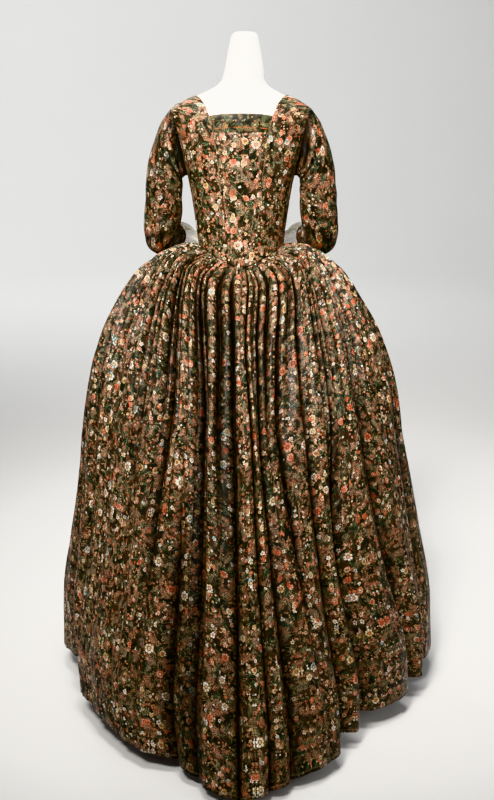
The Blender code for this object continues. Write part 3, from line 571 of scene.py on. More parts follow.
# each main fold: the pleat it follows, where it lies at five levels in thousandths of the way round,
# its half width in pleats and its depth at the same levels in millimetres
foldLevels = (0.1, 0.25, 0.42, 0.65, 1.0)
mainFolds = [(pleat, np.divide(at, 1000), wide, np.divide(deep, 1000)) for pleat, at, wide, deep in (
    (-34, (-445, -445, -445, -445, -440), 2.6, (4, 10, 14, 18, 30)),
    (-29, (-385, -385, -383, -380, -375), 1.6, (6, 16, 20, 22, 34)),
    (-24, (-320, -318, -314, -308, -305), 2.0, (6, 12, 16, 18, 10)),
    (-20, (-262, -256, -242, -236, -235), 1.4, (6, 12, 14, 26, 68)),
    (-15, (-200, -172, -150, -160, -211), 1.1, (10, 16, 26, 26, 70)),
    (-11, (-150, -118, -106, -102, -141), 1.6, (8, 14, 16, 46, 120)),
    (-8, (-116, -83, -70, -79, -111), 1.1, (10, 24, 18, 36, 100)),
    (-6, (-80, -52, -42, -52, -80), 1.0, (8, 22, 34, 22, 11)),
    (-4, (-36, -22, -21, -29, -47), 1.2, (8, 26, 38, 34, 38)),
    (-2, (-14, -6, -11, -16, -27), 0.8, (8, 14, 26, 30, 36)),
    (0, (17, 10, 8, 5, 2), 1.0, (14, 28, 36, 50, 62)),
    (1, (42, 29, 26, 21, 16), 0.7, (8, 12, 18, 6, 3)),
    (3, (86, 57, 44, 43, 47), 2.0, (10, 30, 44, 42, 48)),
    (5, (110, 77, 62, 66, 77), 1.0, (4, 4, 5, 20, 52)),
    (7, (134, 102, 83, 92, 101), 1.3, (12, 42, 38, 24, 8)),
    (10, (165, 134, 118, 126, 130), 1.2, (8, 16, 16, 12, 6)),
    (13, (199, 172, 160, 160, 168), 1.1, (8, 14, 12, 8, 6)),
    (18, (252, 236, 208, 198, 213), 1.5, (6, 12, 20, 34, 92)),
    (22, (300, 288, 262, 248, 241), 2.0, (6, 12, 18, 26, 78)),
    (27, (355, 353, 348, 342, 335), 1.8, (6, 14, 17, 18, 10)),
    (31, (405, 403, 399, 395, 390), 1.6, (6, 12, 16, 21, 36)),
    (35, (455, 455, 453, 449, 445), 2.4, (4, 10, 14, 17, 28)),
)]
skirt = {
    "pleats": 76,
    "long": 1.15,  # metres from waist to hem
    "waistPoint": 1.25,
    "pointFade": 0.18,
    "partingWaist": 0.010,
    "partingHem": 0.180,
    "columnsToPleat": 16,
    "rows": 140,
    "narrowHollow": 1.25,  # above 1 the hollows are narrower than the ridges
    "squeeze": 0.55,  # 0 to 1, how far the pleats' hollows close up
    "foldSqueeze": 0.48,  # and those of the main folds
    "tuck": 0.0045,  # how far the top edge goes up inside the bodice
    "hemShare": 0.35,  # the smaller, the further from the edge the hem's stitches lie
    "foldWide": 0.75,
    "pleatShade": 0.75,  # how dark the painted shade in the pleats' hollows is, 0 to 1
    "foldShade": 0.95,
    "waistShade": 0.80,
    "waistFade": 0.11,
    "foldShadeDepth": 0.024,  # a fold this deep gets the full painted shade
    "lieOver": 0.35,  # how far a pleat leans to one side
    "gather": 0.0028,
    "gatherFade": 0.13,
    "unevenness": 0.0014,
    "crinkle": 0.0003,
    "armHollow": {"turn": 112.0, "down": 0.105, "wide": 25.0, "tall": 0.055, "deep": 0.029},
    "panels": (("skirt_back", 0, 12), ("skirt_side", 12, 25), ("skirt_front", 25, 38)),
}
allTurns = np.linspace(-math.pi, math.pi, 1441)


def dip(turn, pointed):
    soft = np.cos(turn) ** 2
    sharp = 1 - np.abs(np.sin(turn)) ** skirt["waistPoint"]
    return pointed * sharp + (1 - pointed) * soft


def waistHeight(turn):
    low = np.where(np.cos(turn) > 0, skirtRings[0].zBack, skirtRings[0].zFront)
    return skirtRings[0].zSide + (low - skirtRings[0].zSide) * dip(turn, 1.0)


def armHollow(turn, down):
    hollow = skirt["armHollow"]
    across = (np.degrees(np.abs(turn)) - hollow["turn"]) / hollow["wide"]
    along = (down - hollow["down"]) / hollow["tall"]
    return hollow["deep"] * np.exp(-(across**2) - along**2)


def skirtLevel(down):
    # the smooth skirt at one level: its points and the share of the way round of each
    downs = column(skirtRings, "down")
    side, lean, back, front, zSide, zBack, zFront, point = (
        float(smoothThrough(downs, column(skirtRings, name), down)) for name in Ring._fields[1:]
    )
    across, along = np.sin(allTurns), np.cos(allTurns)
    power = 2 / np.where(along > 0, point, 2.0)
    x = side * signedPower(across, power) + lean * np.abs(across) ** power
    y = np.where(along > 0, back, front) * signedPower(along, power)
    low = np.where(along > 0, zBack, zFront)
    pointed = min(max(1 - down / skirt["pointFade"], 0), 1)
    z = zSide + (low - zSide) * dip(allTurns, pointed) - armHollow(allTurns, down)
    ring = np.stack([x, y, z], axis=-1)
    run = runAlong(ring, 0)
    middle = run[len(run) // 2]
    shares = np.where(allTurns < 0, (run - middle) / middle, (run - middle) / (run[-1] - middle)) / 2
    return ring, shares, run[-1]


def levelPoint(level, share):
    ring, shares, _ = level
    share = (share + 0.5) % 1.0 - 0.5
    return np.stack([np.interp(share, shares, ring[:, axis]) for axis in range(3)], axis=-1)


def nearParting(cloth):
    # 0 at the front edges, 1 from three pleats away
    return np.clip((0.5 - np.abs(cloth)) * skirt["pleats"] / 3, 0, 1)


def shareOfCloth(cloth, down, perimeter):
    parting = skirt["partingWaist"] + (skirt["partingHem"] - skirt["partingWaist"]) * down
    edge = 0.5 - parting / 2 / perimeter
    pleats, inner = skirt["pleats"], nearParting(cloth)
    # ridges spread and hollows close up, first of the pleats and then of the main folds
    beat = np.sin(2 * math.pi * cloth * pleats)
    drawn = squeezed = cloth + skirt["squeeze"] * inner * beat / (2 * math.pi * pleats)
    for pleat, _, wide, _ in mainFolds:
        wide = wide * skirt["foldWide"]
        away = (squeezed * pleats - pleat - 0.5) / wide
        hold = skirt["foldSqueeze"] * min(1, down / foldLevels[0]) * inner
        drawn = drawn - hold * away * np.exp(-(away**2)) * wide / pleats
    places = [-0.5] + [(fold[0] + 0.5) / pleats for fold in mainFolds] + [0.5]
    shares = [float(smoothThrough(foldLevels, fold[1], down)) for fold in mainFolds]
    return smoothThrough(places, [-edge] + shares + [edge], drawn)


def foldDepth(cloth, down):
    # how far the cloth lies behind the smooth skirt, and how much painted shade it gets from the folds
    # around it
    pleats = skirt["pleats"]
    plain = float(smoothThrough(pleatLevels, pleatDepths, down))
    along = cloth * pleats
    number = np.floor(along)
    lean = skirt["lieOver"] * np.sin(1.7 * number + 0.4)
    phase = along + lean * np.sin(2 * math.pi * along) / (2 * math.pi)
    hollow = (0.5 - 0.5 * np.cos(2 * math.pi * phase)) ** skirt["narrowHollow"]
    swing = np.sin(2.3 * number + 0.6) + 0.6 * np.sin(0.9 * number)
    strength = np.clip(1.0 + (0.30 + 0.55 * down) * swing, 0.12, 2.2)
    depth = plain * hollow * strength * nearParting(cloth)
    paintedShade = skirt["pleatShade"] * depth / max(pleatDepths)
    # close under the waist the pleats are pressed thin, and only their dark lines show, as painted shade
    # with no depth in the cloth
    top = math.exp(-down / skirt["waistFade"]) * min(1, down / 0.004)
    paintedShade = paintedShade + skirt["waistShade"] * top * hollow**1.4 * np.clip(0.8 + 0.35 * swing, 0.25, 1.2)
    for pleat, _, wide, deep in mainFolds:
        deepHere = float(smoothThrough(foldLevels, deep, down)) * min(1, down / foldLevels[0])
        away = np.abs(cloth - (pleat + 0.5) / pleats) * pleats / (wide * skirt["foldWide"])
        depth = depth + deepHere * np.exp(-(away**1.6))
        # painted shade along each main fold's valley
        dark = skirt["foldShade"] * min(1, deepHere / skirt["foldShadeDepth"])
        paintedShade = paintedShade + dark * np.exp(-((away / 0.80) ** 2))
    fresh = math.exp(-down / skirt["gatherFade"]) * min(1, down / 0.03)
    depth = depth + skirt["gather"] * fresh * (0.5 - 0.5 * np.cos(4 * math.pi * along + number))
    u, v = cloth * gown["clothWidth"], down * skirt["long"] + 0 * cloth
    calm = min(1, down / 0.05)
    depth = depth + calm * skirt["unevenness"] * ripple(u, v, 3, 0.10, 0.45)
    depth = depth + calm * skirt["crinkle"] * ripple(u, v, 8, 0.022, 0.16)
    return depth, np.clip(paintedShade, 0, 1)


def makeSkirt():
    pleats, perPleat = skirt["pleats"], skirt["columnsToPleat"]
    panels = []
    for name, first, last in skirt["panels"]:
        panels += [(name + "_left", first, last), (name + "_right", -last, -first)]
    steps = np.linspace(0, 1, skirt["rows"] + 1)
    downs = steps * (0.35 + 0.65 * steps)  # the rows lie closer at the waist
    flat = [np.linspace(first, last, (last - first) * perPleat + 1) / pleats for _, first, last in panels]
    starts = np.cumsum([0] + [len(row) for row in flat])
    points, base = np.zeros((2, len(downs), starts[-1], 3))
    paintedShade = np.zeros((len(downs), starts[-1]))
    reachDown, reachRound = 0.02, 0.014  # for the skirt's direction outwards
    for i, down in enumerate(downs):
        here = skirtLevel(down)
        above, below = skirtLevel(max(down - reachDown, 0)), skirtLevel(min(down + reachDown, 1))
        gap = gown["seamGap"] / 2 / here[2]
        cloth = np.concatenate([np.clip(row, row[0] + gap, row[-1] - gap) for row in flat])
        share = shareOfCloth(cloth, down, here[2])
        base[i] = levelPoint(here, share)
        around = levelPoint(here, share + reachRound) - levelPoint(here, share - reachRound)
        normal = unit(np.cross(around, levelPoint(below, share) - levelPoint(above, share)))
        depth, paintedShade[i] = foldDepth(cloth, down)
        points[i] = base[i] - depth[:, None] * normal
    points[0, :, 2] += skirt["tuck"]
    for k, (name, first, last) in enumerate(panels):
        part = slice(starts[k], starts[k + 1])
        spot = points[:, part]
        along, fall = runAlong(spot, 1), runAlong(base[:, part], 0)
        # a ridge shows its own slice of the print at true scale, and the rest is lost in the hollows
        pleat = np.rint((np.arange(spot.shape[1] - 1) + 0.5) / perPleat).astype(int)
        ridge = np.clip(pleat * perPleat, 0, spot.shape[1] - 1)
        start = gown["clothWidth"] * (first + pleat) / pleats - along[:, ridge]
        middles = np.stack([0 * downs, 0 * downs + 0.02, spot[:, :, 2].mean(axis=1)], axis=-1)
        edge = ((fall[-1:] - fall) * skirt["hemShare"], along)
        made = clothObject(name.replace("skirt_", "skirtPanel_"), spot, facePlaces(along, -fall, start),
                           middles, edge, (shadedSkirtCotton, printBack), gown["skirtWall"], paintedShade[:, part])
        size = flatSize(along, fall)
        dress(made, name, size, spot)
        print(name, "cloth at the hem", size[0], "at the waist", round(float(along[0, -1]), 3))


makeSkirt()
print("skirt made")

# the bodice
# seams are turns in degrees from the centre back against heights, on the left half
backSeam = ((8.0, 0.95), (13.5, 1.03), (16.5, 1.1), (16.0, 1.18), (15.0, 1.245))
sideSeam = ((98.0, 0.98), (96.0, 1.1), (92.0, 1.152))
sideBackTop = ((15.0, 1.245), (18.6, 1.245), (20.2, 1.28), (68.5, 1.28), (71.5, 1.245),
               (74.5, 1.206), (79.5, 1.17), (85.0, 1.157), (92.0, 1.152))
frontTop = ((92.0, 1.152), (99.0, 1.157), (106.0, 1.172), (113.0, 1.206), (117.0, 1.248),
            (131.0, 1.256), (134.0, 1.225), (145.0, 1.205), (180.0, 1.198))
strapOuter = ((68.5, 1.28), (77.0, 1.288), (90.0, 1.291), (104.0, 1.283), (117.0, 1.248))
strapInner = ((20.2, 1.28), (25.3, 1.296), (36.5, 1.309), (53.0, 1.318), (90.0, 1.3235),
              (116.0, 1.296), (131.0, 1.256))
armhole = (*sideBackTop[:4:-1], (71.3, 1.247), (68.8, 1.277), *strapOuter[1:4], (116.5, 1.25),
           *frontTop[3::-1])
bodicePieces = (
    # name, node, the seams or centre lines at its sides, top edge, degrees of the columns across,
    # the edge with stitches, and where the print starts on the left and on the right
    ("backPiece_", "bodice_back_", 0.0, backSeam, sideBackTop, (0, 4, 9, 15), "right",
     (0.382, 0.146), (0.382, 0.146)),
    ("sideBackPiece_", "bodice_side_back_", backSeam, sideSeam, sideBackTop,
     (15, 16.8, 18.6, 20.2, 32, 44, 56, 68.5, 71.5, 74.5, 79.5, 85, 92), "left", (0.66, 0.19), (1.43, 0.19)),
    ("frontPiece_", "bodice_front_", sideSeam, math.pi, frontTop,
     (92, 99, 106, 113, 117, 124, 131, 134, 145, 154, 163, 172, 180), "right", (2.05, 0.11), (2.71, 0.11)),
)
bodice = {
    "reach": 0.105,  # metres round to a radian of turn
    "fullShadeDepth": 0.0022,  # how deep a crease lies that gets the full painted shade
    "neckArch": 0.0048,  # how far the neckline rises at the middle of the back
    "finer": 5,  # columns to each column of the solid
    "rows": 60,
    "strapGrid": (70, 24),  # rows and columns
    "bandGrid": (16, 60),
    "strapPrint": {"left": (0.9, 0.4), "right": (1.9, 0.4)},  # where the print starts
    "bandPrint": (0.2, 0.35),
    "seamDip": 0.00012,
    "seamWide": 0.003,
    "unevenness": 0.0005,
    # u is the distance round from the centre back and v the height
    "creases": tableOf(Crease, (
        (0.098, 1.196, 0.05, 1.158, 0.005, -0.0013), (0.094, 1.181, 0.058, 1.14, 0.0045, 0.0012),
        (0.1, 1.168, 0.066, 1.118, 0.006, -0.001), (0.052, 1.062, 0.046, 1.0, 0.0032, 0.0012),
        (0.064, 1.05, 0.056, 0.996, 0.0036, 0.0014), (0.076, 1.07, 0.067, 1.002, 0.004, -0.0011),
        (0.03, 1.03, 0.027, 0.978, 0.003, 0.001), (0.012, 1.046, 0.01, 0.972, 0.0028, 0.0009),
        (0.036, 1.1, 0.03, 1.04, 0.005, -0.0008), (0.08, 1.236, 0.07, 1.2, 0.004, -0.0012),
        (0.06, 1.262, 0.03, 1.25, 0.0045, -0.0009), (0.15, 1.15, 0.19, 1.12, 0.005, -0.001),
        (0.145, 1.06, 0.16, 1.0, 0.0045, 0.0011), (0.2, 1.05, 0.215, 0.985, 0.004, 0.0009),
        (0.18, 1.2, 0.215, 1.17, 0.005, 0.001),
    )),
}


def turnedBy(turn, height, distance):
    reach = 0.01
    run = bodyPoint(turn + reach, height) - bodyPoint(turn - reach, height)
    return turn + distance * 2 * reach / np.linalg.norm(run, axis=-1)


def seamEdge(seam, gap):
    # the turn of a piece's edge at a height, beside a seam or on a centre line
    if isinstance(seam, float):
        return lambda height: seam + 0 * height
    turns, heights = zip(*seam)
    return lambda height: turnedBy(np.radians(smoothThrough(heights, turns, height)), height, gap)


def uprightPlaces(left, right, top, stations):
    # the turns and heights of a panel between two seams, from the waist to its top edge
    up, across = grid(bodice["rows"], (len(stations) - 1) * bodice["finer"])
    topTurn = np.interp(across, np.linspace(0, 1, len(stations)), stations)
    topHeight = np.interp(topTurn, *zip(*top)) - gown["seamGap"] / 2

    def turnAt(height):
        slideLeft = np.degrees(left(height)) - stations[0]
        slideRight = np.degrees(right(height)) - stations[-1]
        return np.radians(topTurn + slideLeft * (1 - across) + slideRight * across)

    foot = waistHeight(turnAt(waistHeight(np.radians(topTurn)))) + gown["waistGap"]
    height = foot + (topHeight - foot) * up
    return turnAt(height), height


def bodicePiece(name, node, side, turn, height, stitched, shift, look=flowered):
    smooth = bodyPoint(turn, height)
    around, up = runAlong(smooth, 1), runAlong(smooth, 0)
    u = turn[:, :1] * bodice["reach"] + around
    rise = creaseRise(u, height, bodice["creases"])
    rise = rise + bodice["unevenness"] * ripple(u, height, 21 if side > 0 else 22, 0.03, 0.05)
    across = np.minimum(around, around[:, -1:] - around)
    ends = np.minimum(up, up[-1:] - up)
    nearEdge = np.exp(-((np.minimum(across, ends) / bodice["seamWide"]) ** 2))
    rise = rise * (1 - nearEdge) - bodice["seamDip"] * nearEdge
    # painted shade in the hollows of the creases, none at the seams
    paintedShade = np.clip(-rise / bodice["fullShadeDepth"], 0, 1) * (1 - nearEdge)
    points = (smooth + rise[..., None] * bodyNormal(turn, height)) * (side, 1, 1)
    # points on the centre line stand half a gap to their own side
    points[..., 0] = np.where(np.abs(smooth[..., 0]) < 1e-6, side * gown["seamGap"] / 2, points[..., 0])
    edges = {"left": (around, up), "right": (around[:, -1:] - around, up), "top": (up[-1:] - up, around)}
    made = clothObject(name, points, facePlaces(side * u + shift[0], up + shift[1] + height[:1]),
                       np.outer(height.mean(axis=1), (0, 0, 1)), edges[stitched], (look, linen),
                       gown["bodiceWall"], paintedShade)
    dress(made, node, flatSize(around, up), smooth)


def makeBodice(side, tail):
    half = gown["seamGap"] / 2
    for name, node, start, end, top, stations, stitched, *shifts in bodicePieces:
        turn, height = uprightPlaces(seamEdge(start, half), seamEdge(end, -half), top, stations)
        bodicePiece(name + tail, node + tail, side, turn, height, stitched, shifts[0 if side > 0 else 1])


def makeStrap(side, tail):
    up, across = grid(*bodice["strapGrid"])
    edges = []
    for turns, heights in (zip(*strapOuter), zip(*strapInner)):
        turn = turns[0] + (turns[-1] - turns[0]) * up
        edges.append((turn, smoothThrough(turns, heights, turn)))
    (outerTurn, outerHeight), (innerTurn, innerHeight) = edges
    turn = np.radians(outerTurn + (innerTurn - outerTurn) * across)
    height = outerHeight + (innerHeight - outerHeight) * across
    height = height + np.where((up < 1e-6) | (up > 1 - 1e-6), gown["seamGap"] / 2, 0)
    bodicePiece("shoulderPiece_" + tail, "shoulder_strap_" + tail, side, turn, height, "right",
                bodice["strapPrint"][tail])


def makeNeckband():
    (footTurn, foot), (topTurn, top) = sideBackTop[1:3]
    up, across = grid(*bodice["bandGrid"])
    height = foot + gown["seamGap"] / 2 + (top - foot - gown["seamGap"] / 2) * up + 0 * across
    height = height + bodice["neckArch"] * up * (1 - (2 * across - 1) ** 2)
    reach = np.radians(footTurn + (topTurn - footTurn) * up) + 0 * across
    reach = turnedBy(reach, height, -gown["seamGap"])
    bodicePiece("neckband", "back_neckband", 1, reach * (2 * across - 1), height, "top", bodice["bandPrint"],
                floweredBand)


makeNeckband()
for side, tail in ((1, "left"), (-1, "right")):
    makeBodice(side, tail)
    makeStrap(side, tail)
print("bodice made")

# the sleeves and their frills
SleeveSection = namedtuple("SleeveSection", "x y z swing bend turn wide deep")
sleeveSections = tableOf(SleeveSection, (
    (0.148, 0.0, 1.207, 66, 0, 0, 0.062, 0.051),
    (0.1573, 0.0, 1.1866, 53, 0, 0, 0.0509, 0.049),
    (0.1641, 0.0, 1.164, 33, 0, 0, 0.0432, 0.0465),
    (0.1674, 0.001, 1.134, 12, 0, 0, 0.0404, 0.0455),
    (0.1692, 0.003, 1.1, 0, 0, 0, 0.0405, 0.044),
    (0.1718, 0.003, 1.064, 0, 4, 0, 0.0408, 0.0425),
    (0.1748, -0.002, 1.036, 0, 20, 4, 0.0392, 0.041),
    (0.1768, -0.014, 1.017, 0, 48, 10, 0.0352, 0.04),
    (0.1745, -0.038, 1.0105, 0, 74, 20, 0.0342, 0.0365),
    (0.166, -0.066, 1.0105, 0, 86, 26, 0.0345, 0.033),
    (0.155, -0.092, 1.0125, 0, 90, 28, 0.0345, 0.0315),
))
frillSections = tableOf(SleeveSection, (
    (0.1548, -0.0926, 1.0125, 0, 90, 28, 0.0345, 0.0315),
    (0.1485, -0.104, 1.008, 0, 80, 28, 0.04, 0.0325),
    (0.143, -0.115, 1.003, 0, 66, 28, 0.045, 0.032),
    (0.1385, -0.124, 0.9965, 0, 56, 28, 0.049, 0.031),
))
frillWaves = (0.0000, 0.0035, 0.0055, 0.0070)
sleeve = {
    "around": 112,
    "rows": 104,
    "unevenness": 0.0007,
    "underShade": 0.8,  # painted shade beside the armhole's seam
    "radius": 0.041,
    "clothRound": 0.262,
    "widest": 0.27,
    "printFrom": {"left": 0.43, "right": 1.27},
    "armholeEase": 0.00075,
    "calm": 0.006,  # the creases die out this near to either end
    "fullShadeDepth": 0.0055,  # how deep a crease lies that gets the full painted shade
    # u is the way round in metres, from the outer side towards the back, and v the way down the sleeve
    "creases": tableOf(Crease, (
        (0.05, 0.004, 0.102, 0.04, 0.0062, -0.0068), (0.036, 0.02, 0.096, 0.056, 0.006, 0.0034),
        (0.054, 0.046, 0.112, 0.066, 0.005, -0.004), (0.074, 0.014, 0.086, 0.08, 0.0055, 0.0026),
        (0.02, 0.052, 0.062, 0.094, 0.007, -0.0024), (0.086, 0.078, 0.106, 0.128, 0.006, -0.0026),
        (0.008, 0.112, 0.062, 0.142, 0.006, -0.002), (0.04, 0.158, 0.098, 0.146, 0.0056, 0.0022),
        (0.03, 0.182, 0.104, 0.17, 0.005, -0.0036), (0.026, 0.199, 0.096, 0.19, 0.0046, 0.0026),
        (0.018, 0.216, 0.08, 0.204, 0.0056, -0.0032), (0.15, 0.176, 0.222, 0.17, 0.0052, -0.0036),
        (0.146, 0.19, 0.23, 0.186, 0.0046, 0.003), (0.15, 0.202, 0.226, 0.201, 0.005, -0.0038),
        (0.156, 0.216, 0.22, 0.219, 0.0044, 0.0026), (0.16, 0.16, 0.216, 0.152, 0.0055, 0.002),
        (0.12, 0.226, 0.17, 0.246, 0.006, -0.0018), (0.01, 0.246, 0.05, 0.27, 0.0065, 0.0014),
    )),
}
frill = {"around": 180, "rows": 26, "waves": 10, "waveStart": math.radians(45), "gather": 0.0009}


def sectionRing(section, angle, wave=0.0):
    swing, bend, turn = (math.radians(value) for value in (section.swing, section.bend, section.turn))
    out = np.array([math.cos(swing), 0.0, math.sin(swing)])
    down = np.array([math.sin(swing), 0.0, -math.cos(swing)])
    back = math.cos(bend) * np.array([0.0, 1.0, 0.0]) + math.sin(bend) * down
    across, along = math.cos(turn), math.sin(turn)
    spin = np.array([[across, along, 0.0], [-along, across, 0.0], [0.0, 0.0, 1.0]])
    wide = (section.wide + wave) * np.cos(angle)
    deep = (section.deep + wave) * np.sin(angle)
    return np.array(section[:3]) + wide[:, None] * (spin @ out) + deep[:, None] * (spin @ back)


def armholeRing(angle):
    degrees, heights = np.transpose(armhole)
    turns = np.radians(degrees)
    path = bodyPoint(turns, heights)
    middle = (path.min(axis=0) + path.max(axis=0)) / 2
    out = unit(path[len(path) // 2] - path[0])
    angles = np.unwrap(np.arctan2((path - middle)[:, 1], (path - middle) @ out))
    order = np.argsort(angles)
    wrapped = (angle - angles.min()) % (2 * math.pi) + angles.min()
    turn = np.interp(wrapped, angles[order], turns[order])
    height = np.interp(wrapped, angles[order], heights[order])
    normal = bodyNormal(turn, height)
    point = bodyPoint(turn, height) + gown["sleeveGap"] * normal
    radial = point - middle
    radial = unit(radial - np.sum(radial * normal, axis=-1, keepdims=True) * normal)
    return point + sleeve["armholeEase"] * radial


def loftThrough(rings, count):
    # rings joined by a smooth curve through each of their points, evenly spaced along it
    rings = np.asarray(rings)
    places = np.concatenate([[0], np.cumsum(np.linalg.norm(np.diff(rings, axis=0), axis=-1).mean(axis=1))])
    at = np.linspace(0, places[-1], count + 1)
    steps = np.diff(places)[:, None, None]
    slopes = np.diff(rings, axis=0) / steps
    weight = steps[1:] / (steps[1:] + steps[:-1])
    tangents = np.concatenate([slopes[:1], weight * slopes[:-1] + (1 - weight) * slopes[1:], slopes[-1:]])
    i = np.clip(np.searchsorted(places, at) - 1, 0, len(steps) - 1)
    u = (at - places[i])[:, None, None] / steps[i]
    return between(u, steps[i], rings[i], tangents[i], rings[i + 1], tangents[i + 1]), at


def standOff(smooth, rise):
    # a closed tube that stands off a smooth one, and the middles of its rings
    middles = smooth[:, :-1].mean(axis=1)
    points = smooth + rise[..., None] * unit(smooth - middles[:, None])
    points[:, -1] = points[:, 0]
    return points, middles


def makeSleeve(side, tail):
    angle = np.linspace(0, 2 * math.pi, sleeve["around"] + 1)
    rings = [armholeRing(angle)] + [sectionRing(section, angle) for section in sleeveSections]
    smooth, at = loftThrough(rings, sleeve["rows"])
    smooth[:, -1] = smooth[:, 0]
    u = (angle * sleeve["radius"])[None, :] + 0 * at[:, None]
    v = at[:, None] + 0 * u
    whole = 2 * math.pi * sleeve["radius"]
    rise = creaseRise(u, v, sleeve["creases"]) + creaseRise(u - whole, v, sleeve["creases"])
    across, along = 0.04 * np.cos(angle), v + 0.04 * np.sin(angle)
    rise = rise + sleeve["unevenness"] * ripple(across + 0 * v, along, 31 + side, 0.05, 0.05)
    calm = np.clip(np.minimum(v, at[-1] - v) / sleeve["calm"], 0, 1)
    points, middles = standOff(smooth, rise * calm)
    # painted shade beside the armhole seam, reaching furthest and darkest at the back, below the shoulder
    behind = np.exp(-(((angle - 0.55 * math.pi) / 0.9) ** 2))[None, :]
    seamShade = np.clip(1 - v / (0.016 + 0.018 * behind), 0, 1)
    # painted shade in the creases' hollows and beside the armhole seam
    paintedShade = np.clip(-rise / sleeve["fullShadeDepth"], 0, 1) * calm + (sleeve["underShade"] + 0.35 * behind) * seamShade
    around = runAlong(smooth, 1)
    around = around / around[:, -1:] * sleeve["clothRound"]
    made = clothObject("sleevePiece_" + tail, points * (side, 1, 1),
                       facePlaces(side * around + sleeve["printFrom"][tail], -v), middles * (side, 1, 1),
                       (at[-1] - v, around), (shadedSleeveCotton, linen), gown["sleeveWall"], paintedShade, True)
    dress(made, "sleeve_" + tail, flatSize(sleeve["widest"], at))


def makeFrill(side, tail):
    angle = np.linspace(0, 2 * math.pi, frill["around"] + 1)
    beat = np.cos(frill["waves"] * angle + frill["waveStart"])
    rings = [sectionRing(section, angle, wave * beat) for section, wave in zip(frillSections, frillWaves)]
    smooth, at = loftThrough(rings, frill["rows"])
    share = (at / at[-1])[:, None]
    fine = np.cos(3 * frill["waves"] * angle + 1.1)[None, :] * np.clip(1.2 - share, 0, 1)
    points, middles = standOff(smooth, frill["gather"] * np.clip(share * 6, 0, 1) * fine)
    around = runAlong(points, 1)
    down = at[:, None] + 0 * around
    made = clothObject("gauzeFrill_" + tail, points * (side, 1, 1), facePlaces(around, down),
                       middles * (side, 1, 1), (at[-1] - down, around), (gauze,), gown["frillWall"],
                       None, True)
    dress(made, "sleeve_frill_" + tail, flatSize(around[-1], at))


def makeGauze():
    made, tree, shader = newMaterial("silk gauze", 0.8)
    shader.inputs["Subsurface Weight"].default_value = 0.5
    shader.inputs["Subsurface Scale"].default_value = 0.004
    place = uvOf(tree, "cloth")
    threads = weaveHeight(place, 0.0006)
    slubs = ease(noiseOf(place, 120.0, 3.0), 0.35, 0.7)
    feed(shader.inputs["Base Color"], overlay(slubs, (0.92, 0.86, 0.68), (0.97, 0.94, 0.82)))
    feed(shader.inputs["Alpha"], ease(threads, 0.1, 0.7, 0.24, 0.55))
    feed(shader.inputs["Normal"], bumpOf(threads, 0.4, 0.0002))
    return made


gauze = makeGauze()
for side, tail in ((1, "left"), (-1, "right")):
    makeSleeve(side, tail)
    makeFrill(side, tail)
print("sleeves made")

# the dress form and its stand
form = {
    "hips": tableOf(Section, (
        (0.797, 0.114, 0.096, 0.092), (0.815, 0.125, 0.107, 0.101), (0.85, 0.129, 0.111, 0.104),
        (0.885, 0.123, 0.103, 0.102), (0.92, 0.107, 0.088, 0.094), (0.945, 0.095, 0.08, 0.089),
    )),
    "trunk": (0.965, 1.0, 1.05, 1.1, 1.144, 1.176, 1.205, 1.235, 1.26, 1.276, 1.286, 1.295, 1.304,
              1.313, 1.322, 1.331),
    "neck": tableOf(Section, (
        (1.34, 0.057, 0.049, 0.05), (1.35, 0.0475, 0.0445, 0.046), (1.366, 0.0437, 0.0422, 0.0438),
        (1.384, 0.0406, 0.0405, 0.042), (1.412, 0.0352, 0.036, 0.0375), (1.434, 0.0305, 0.0318, 0.033),
        (1.446, 0.027, 0.0285, 0.0295), (1.451, 0.0215, 0.023, 0.024),
    )),
    "inset": 0.0048,  # the form lies this far inside the bodice's outside
    "shoulderDrop": 0.0024,
    "shoulder": (1.2, 1.26),
    "neckLean": -0.008,
    "lean": (1.31, 1.38),
    "around": 120,
    "rows": 150,
    # rings that close the top in a low dome and the foot in a flat plate: share of the width, and rise
    "dome": ((0.86, 0.0007), (0.6, 0.0013), (0.3, 0.0016), (0.04, 0.0017)),
    "plate": ((0.2, -0.0024), (0.8, -0.0024), (0.96, -0.0022), (0.985, -0.0015)),
}


def formRing(section, angle):
    return oval(angle, *section[1:4], 2 / section.square, section.height)


def trunkRing(height, angle):
    low, high = form["shoulder"]
    drop = form["shoulderDrop"] * min(max((height - low) / (high - low), 0), 1)
    ring = bodyPoint(angle, height + drop + 0 * angle)
    reach = np.linalg.norm(ring[:, :2], axis=1, keepdims=True)
    ring[:, :2] *= (reach - form["inset"]) / reach
    ring[:, 2] = height
    return ring


def smaller(ring, rims):
    return [ring * (share, share, 1) + (0, 0, rise) for share, rise in rims]


def makePaint(name, roughness, cloud, tones, grain):
    # cloud is the scale, detail and lower level of its unevenness; grain is the scale, strength and
    # height of its surface
    made, tree, shader = newMaterial(name, roughness[0])
    place = Wire(tree.nodes.new("ShaderNodeTexCoord").outputs["Object"])
    cloudy = ease(noiseOf(place, *cloud[:2], False), cloud[2], 0.7)
    feed(shader.inputs["Base Color"], overlay(cloudy, *tones))
    feed(shader.inputs["Roughness"], ease(cloudy, 0.0, 1.0, *roughness))
    feed(shader.inputs["Normal"], bumpOf(noiseOf(place, grain[0], flat=False), *grain[1:]))
    return made


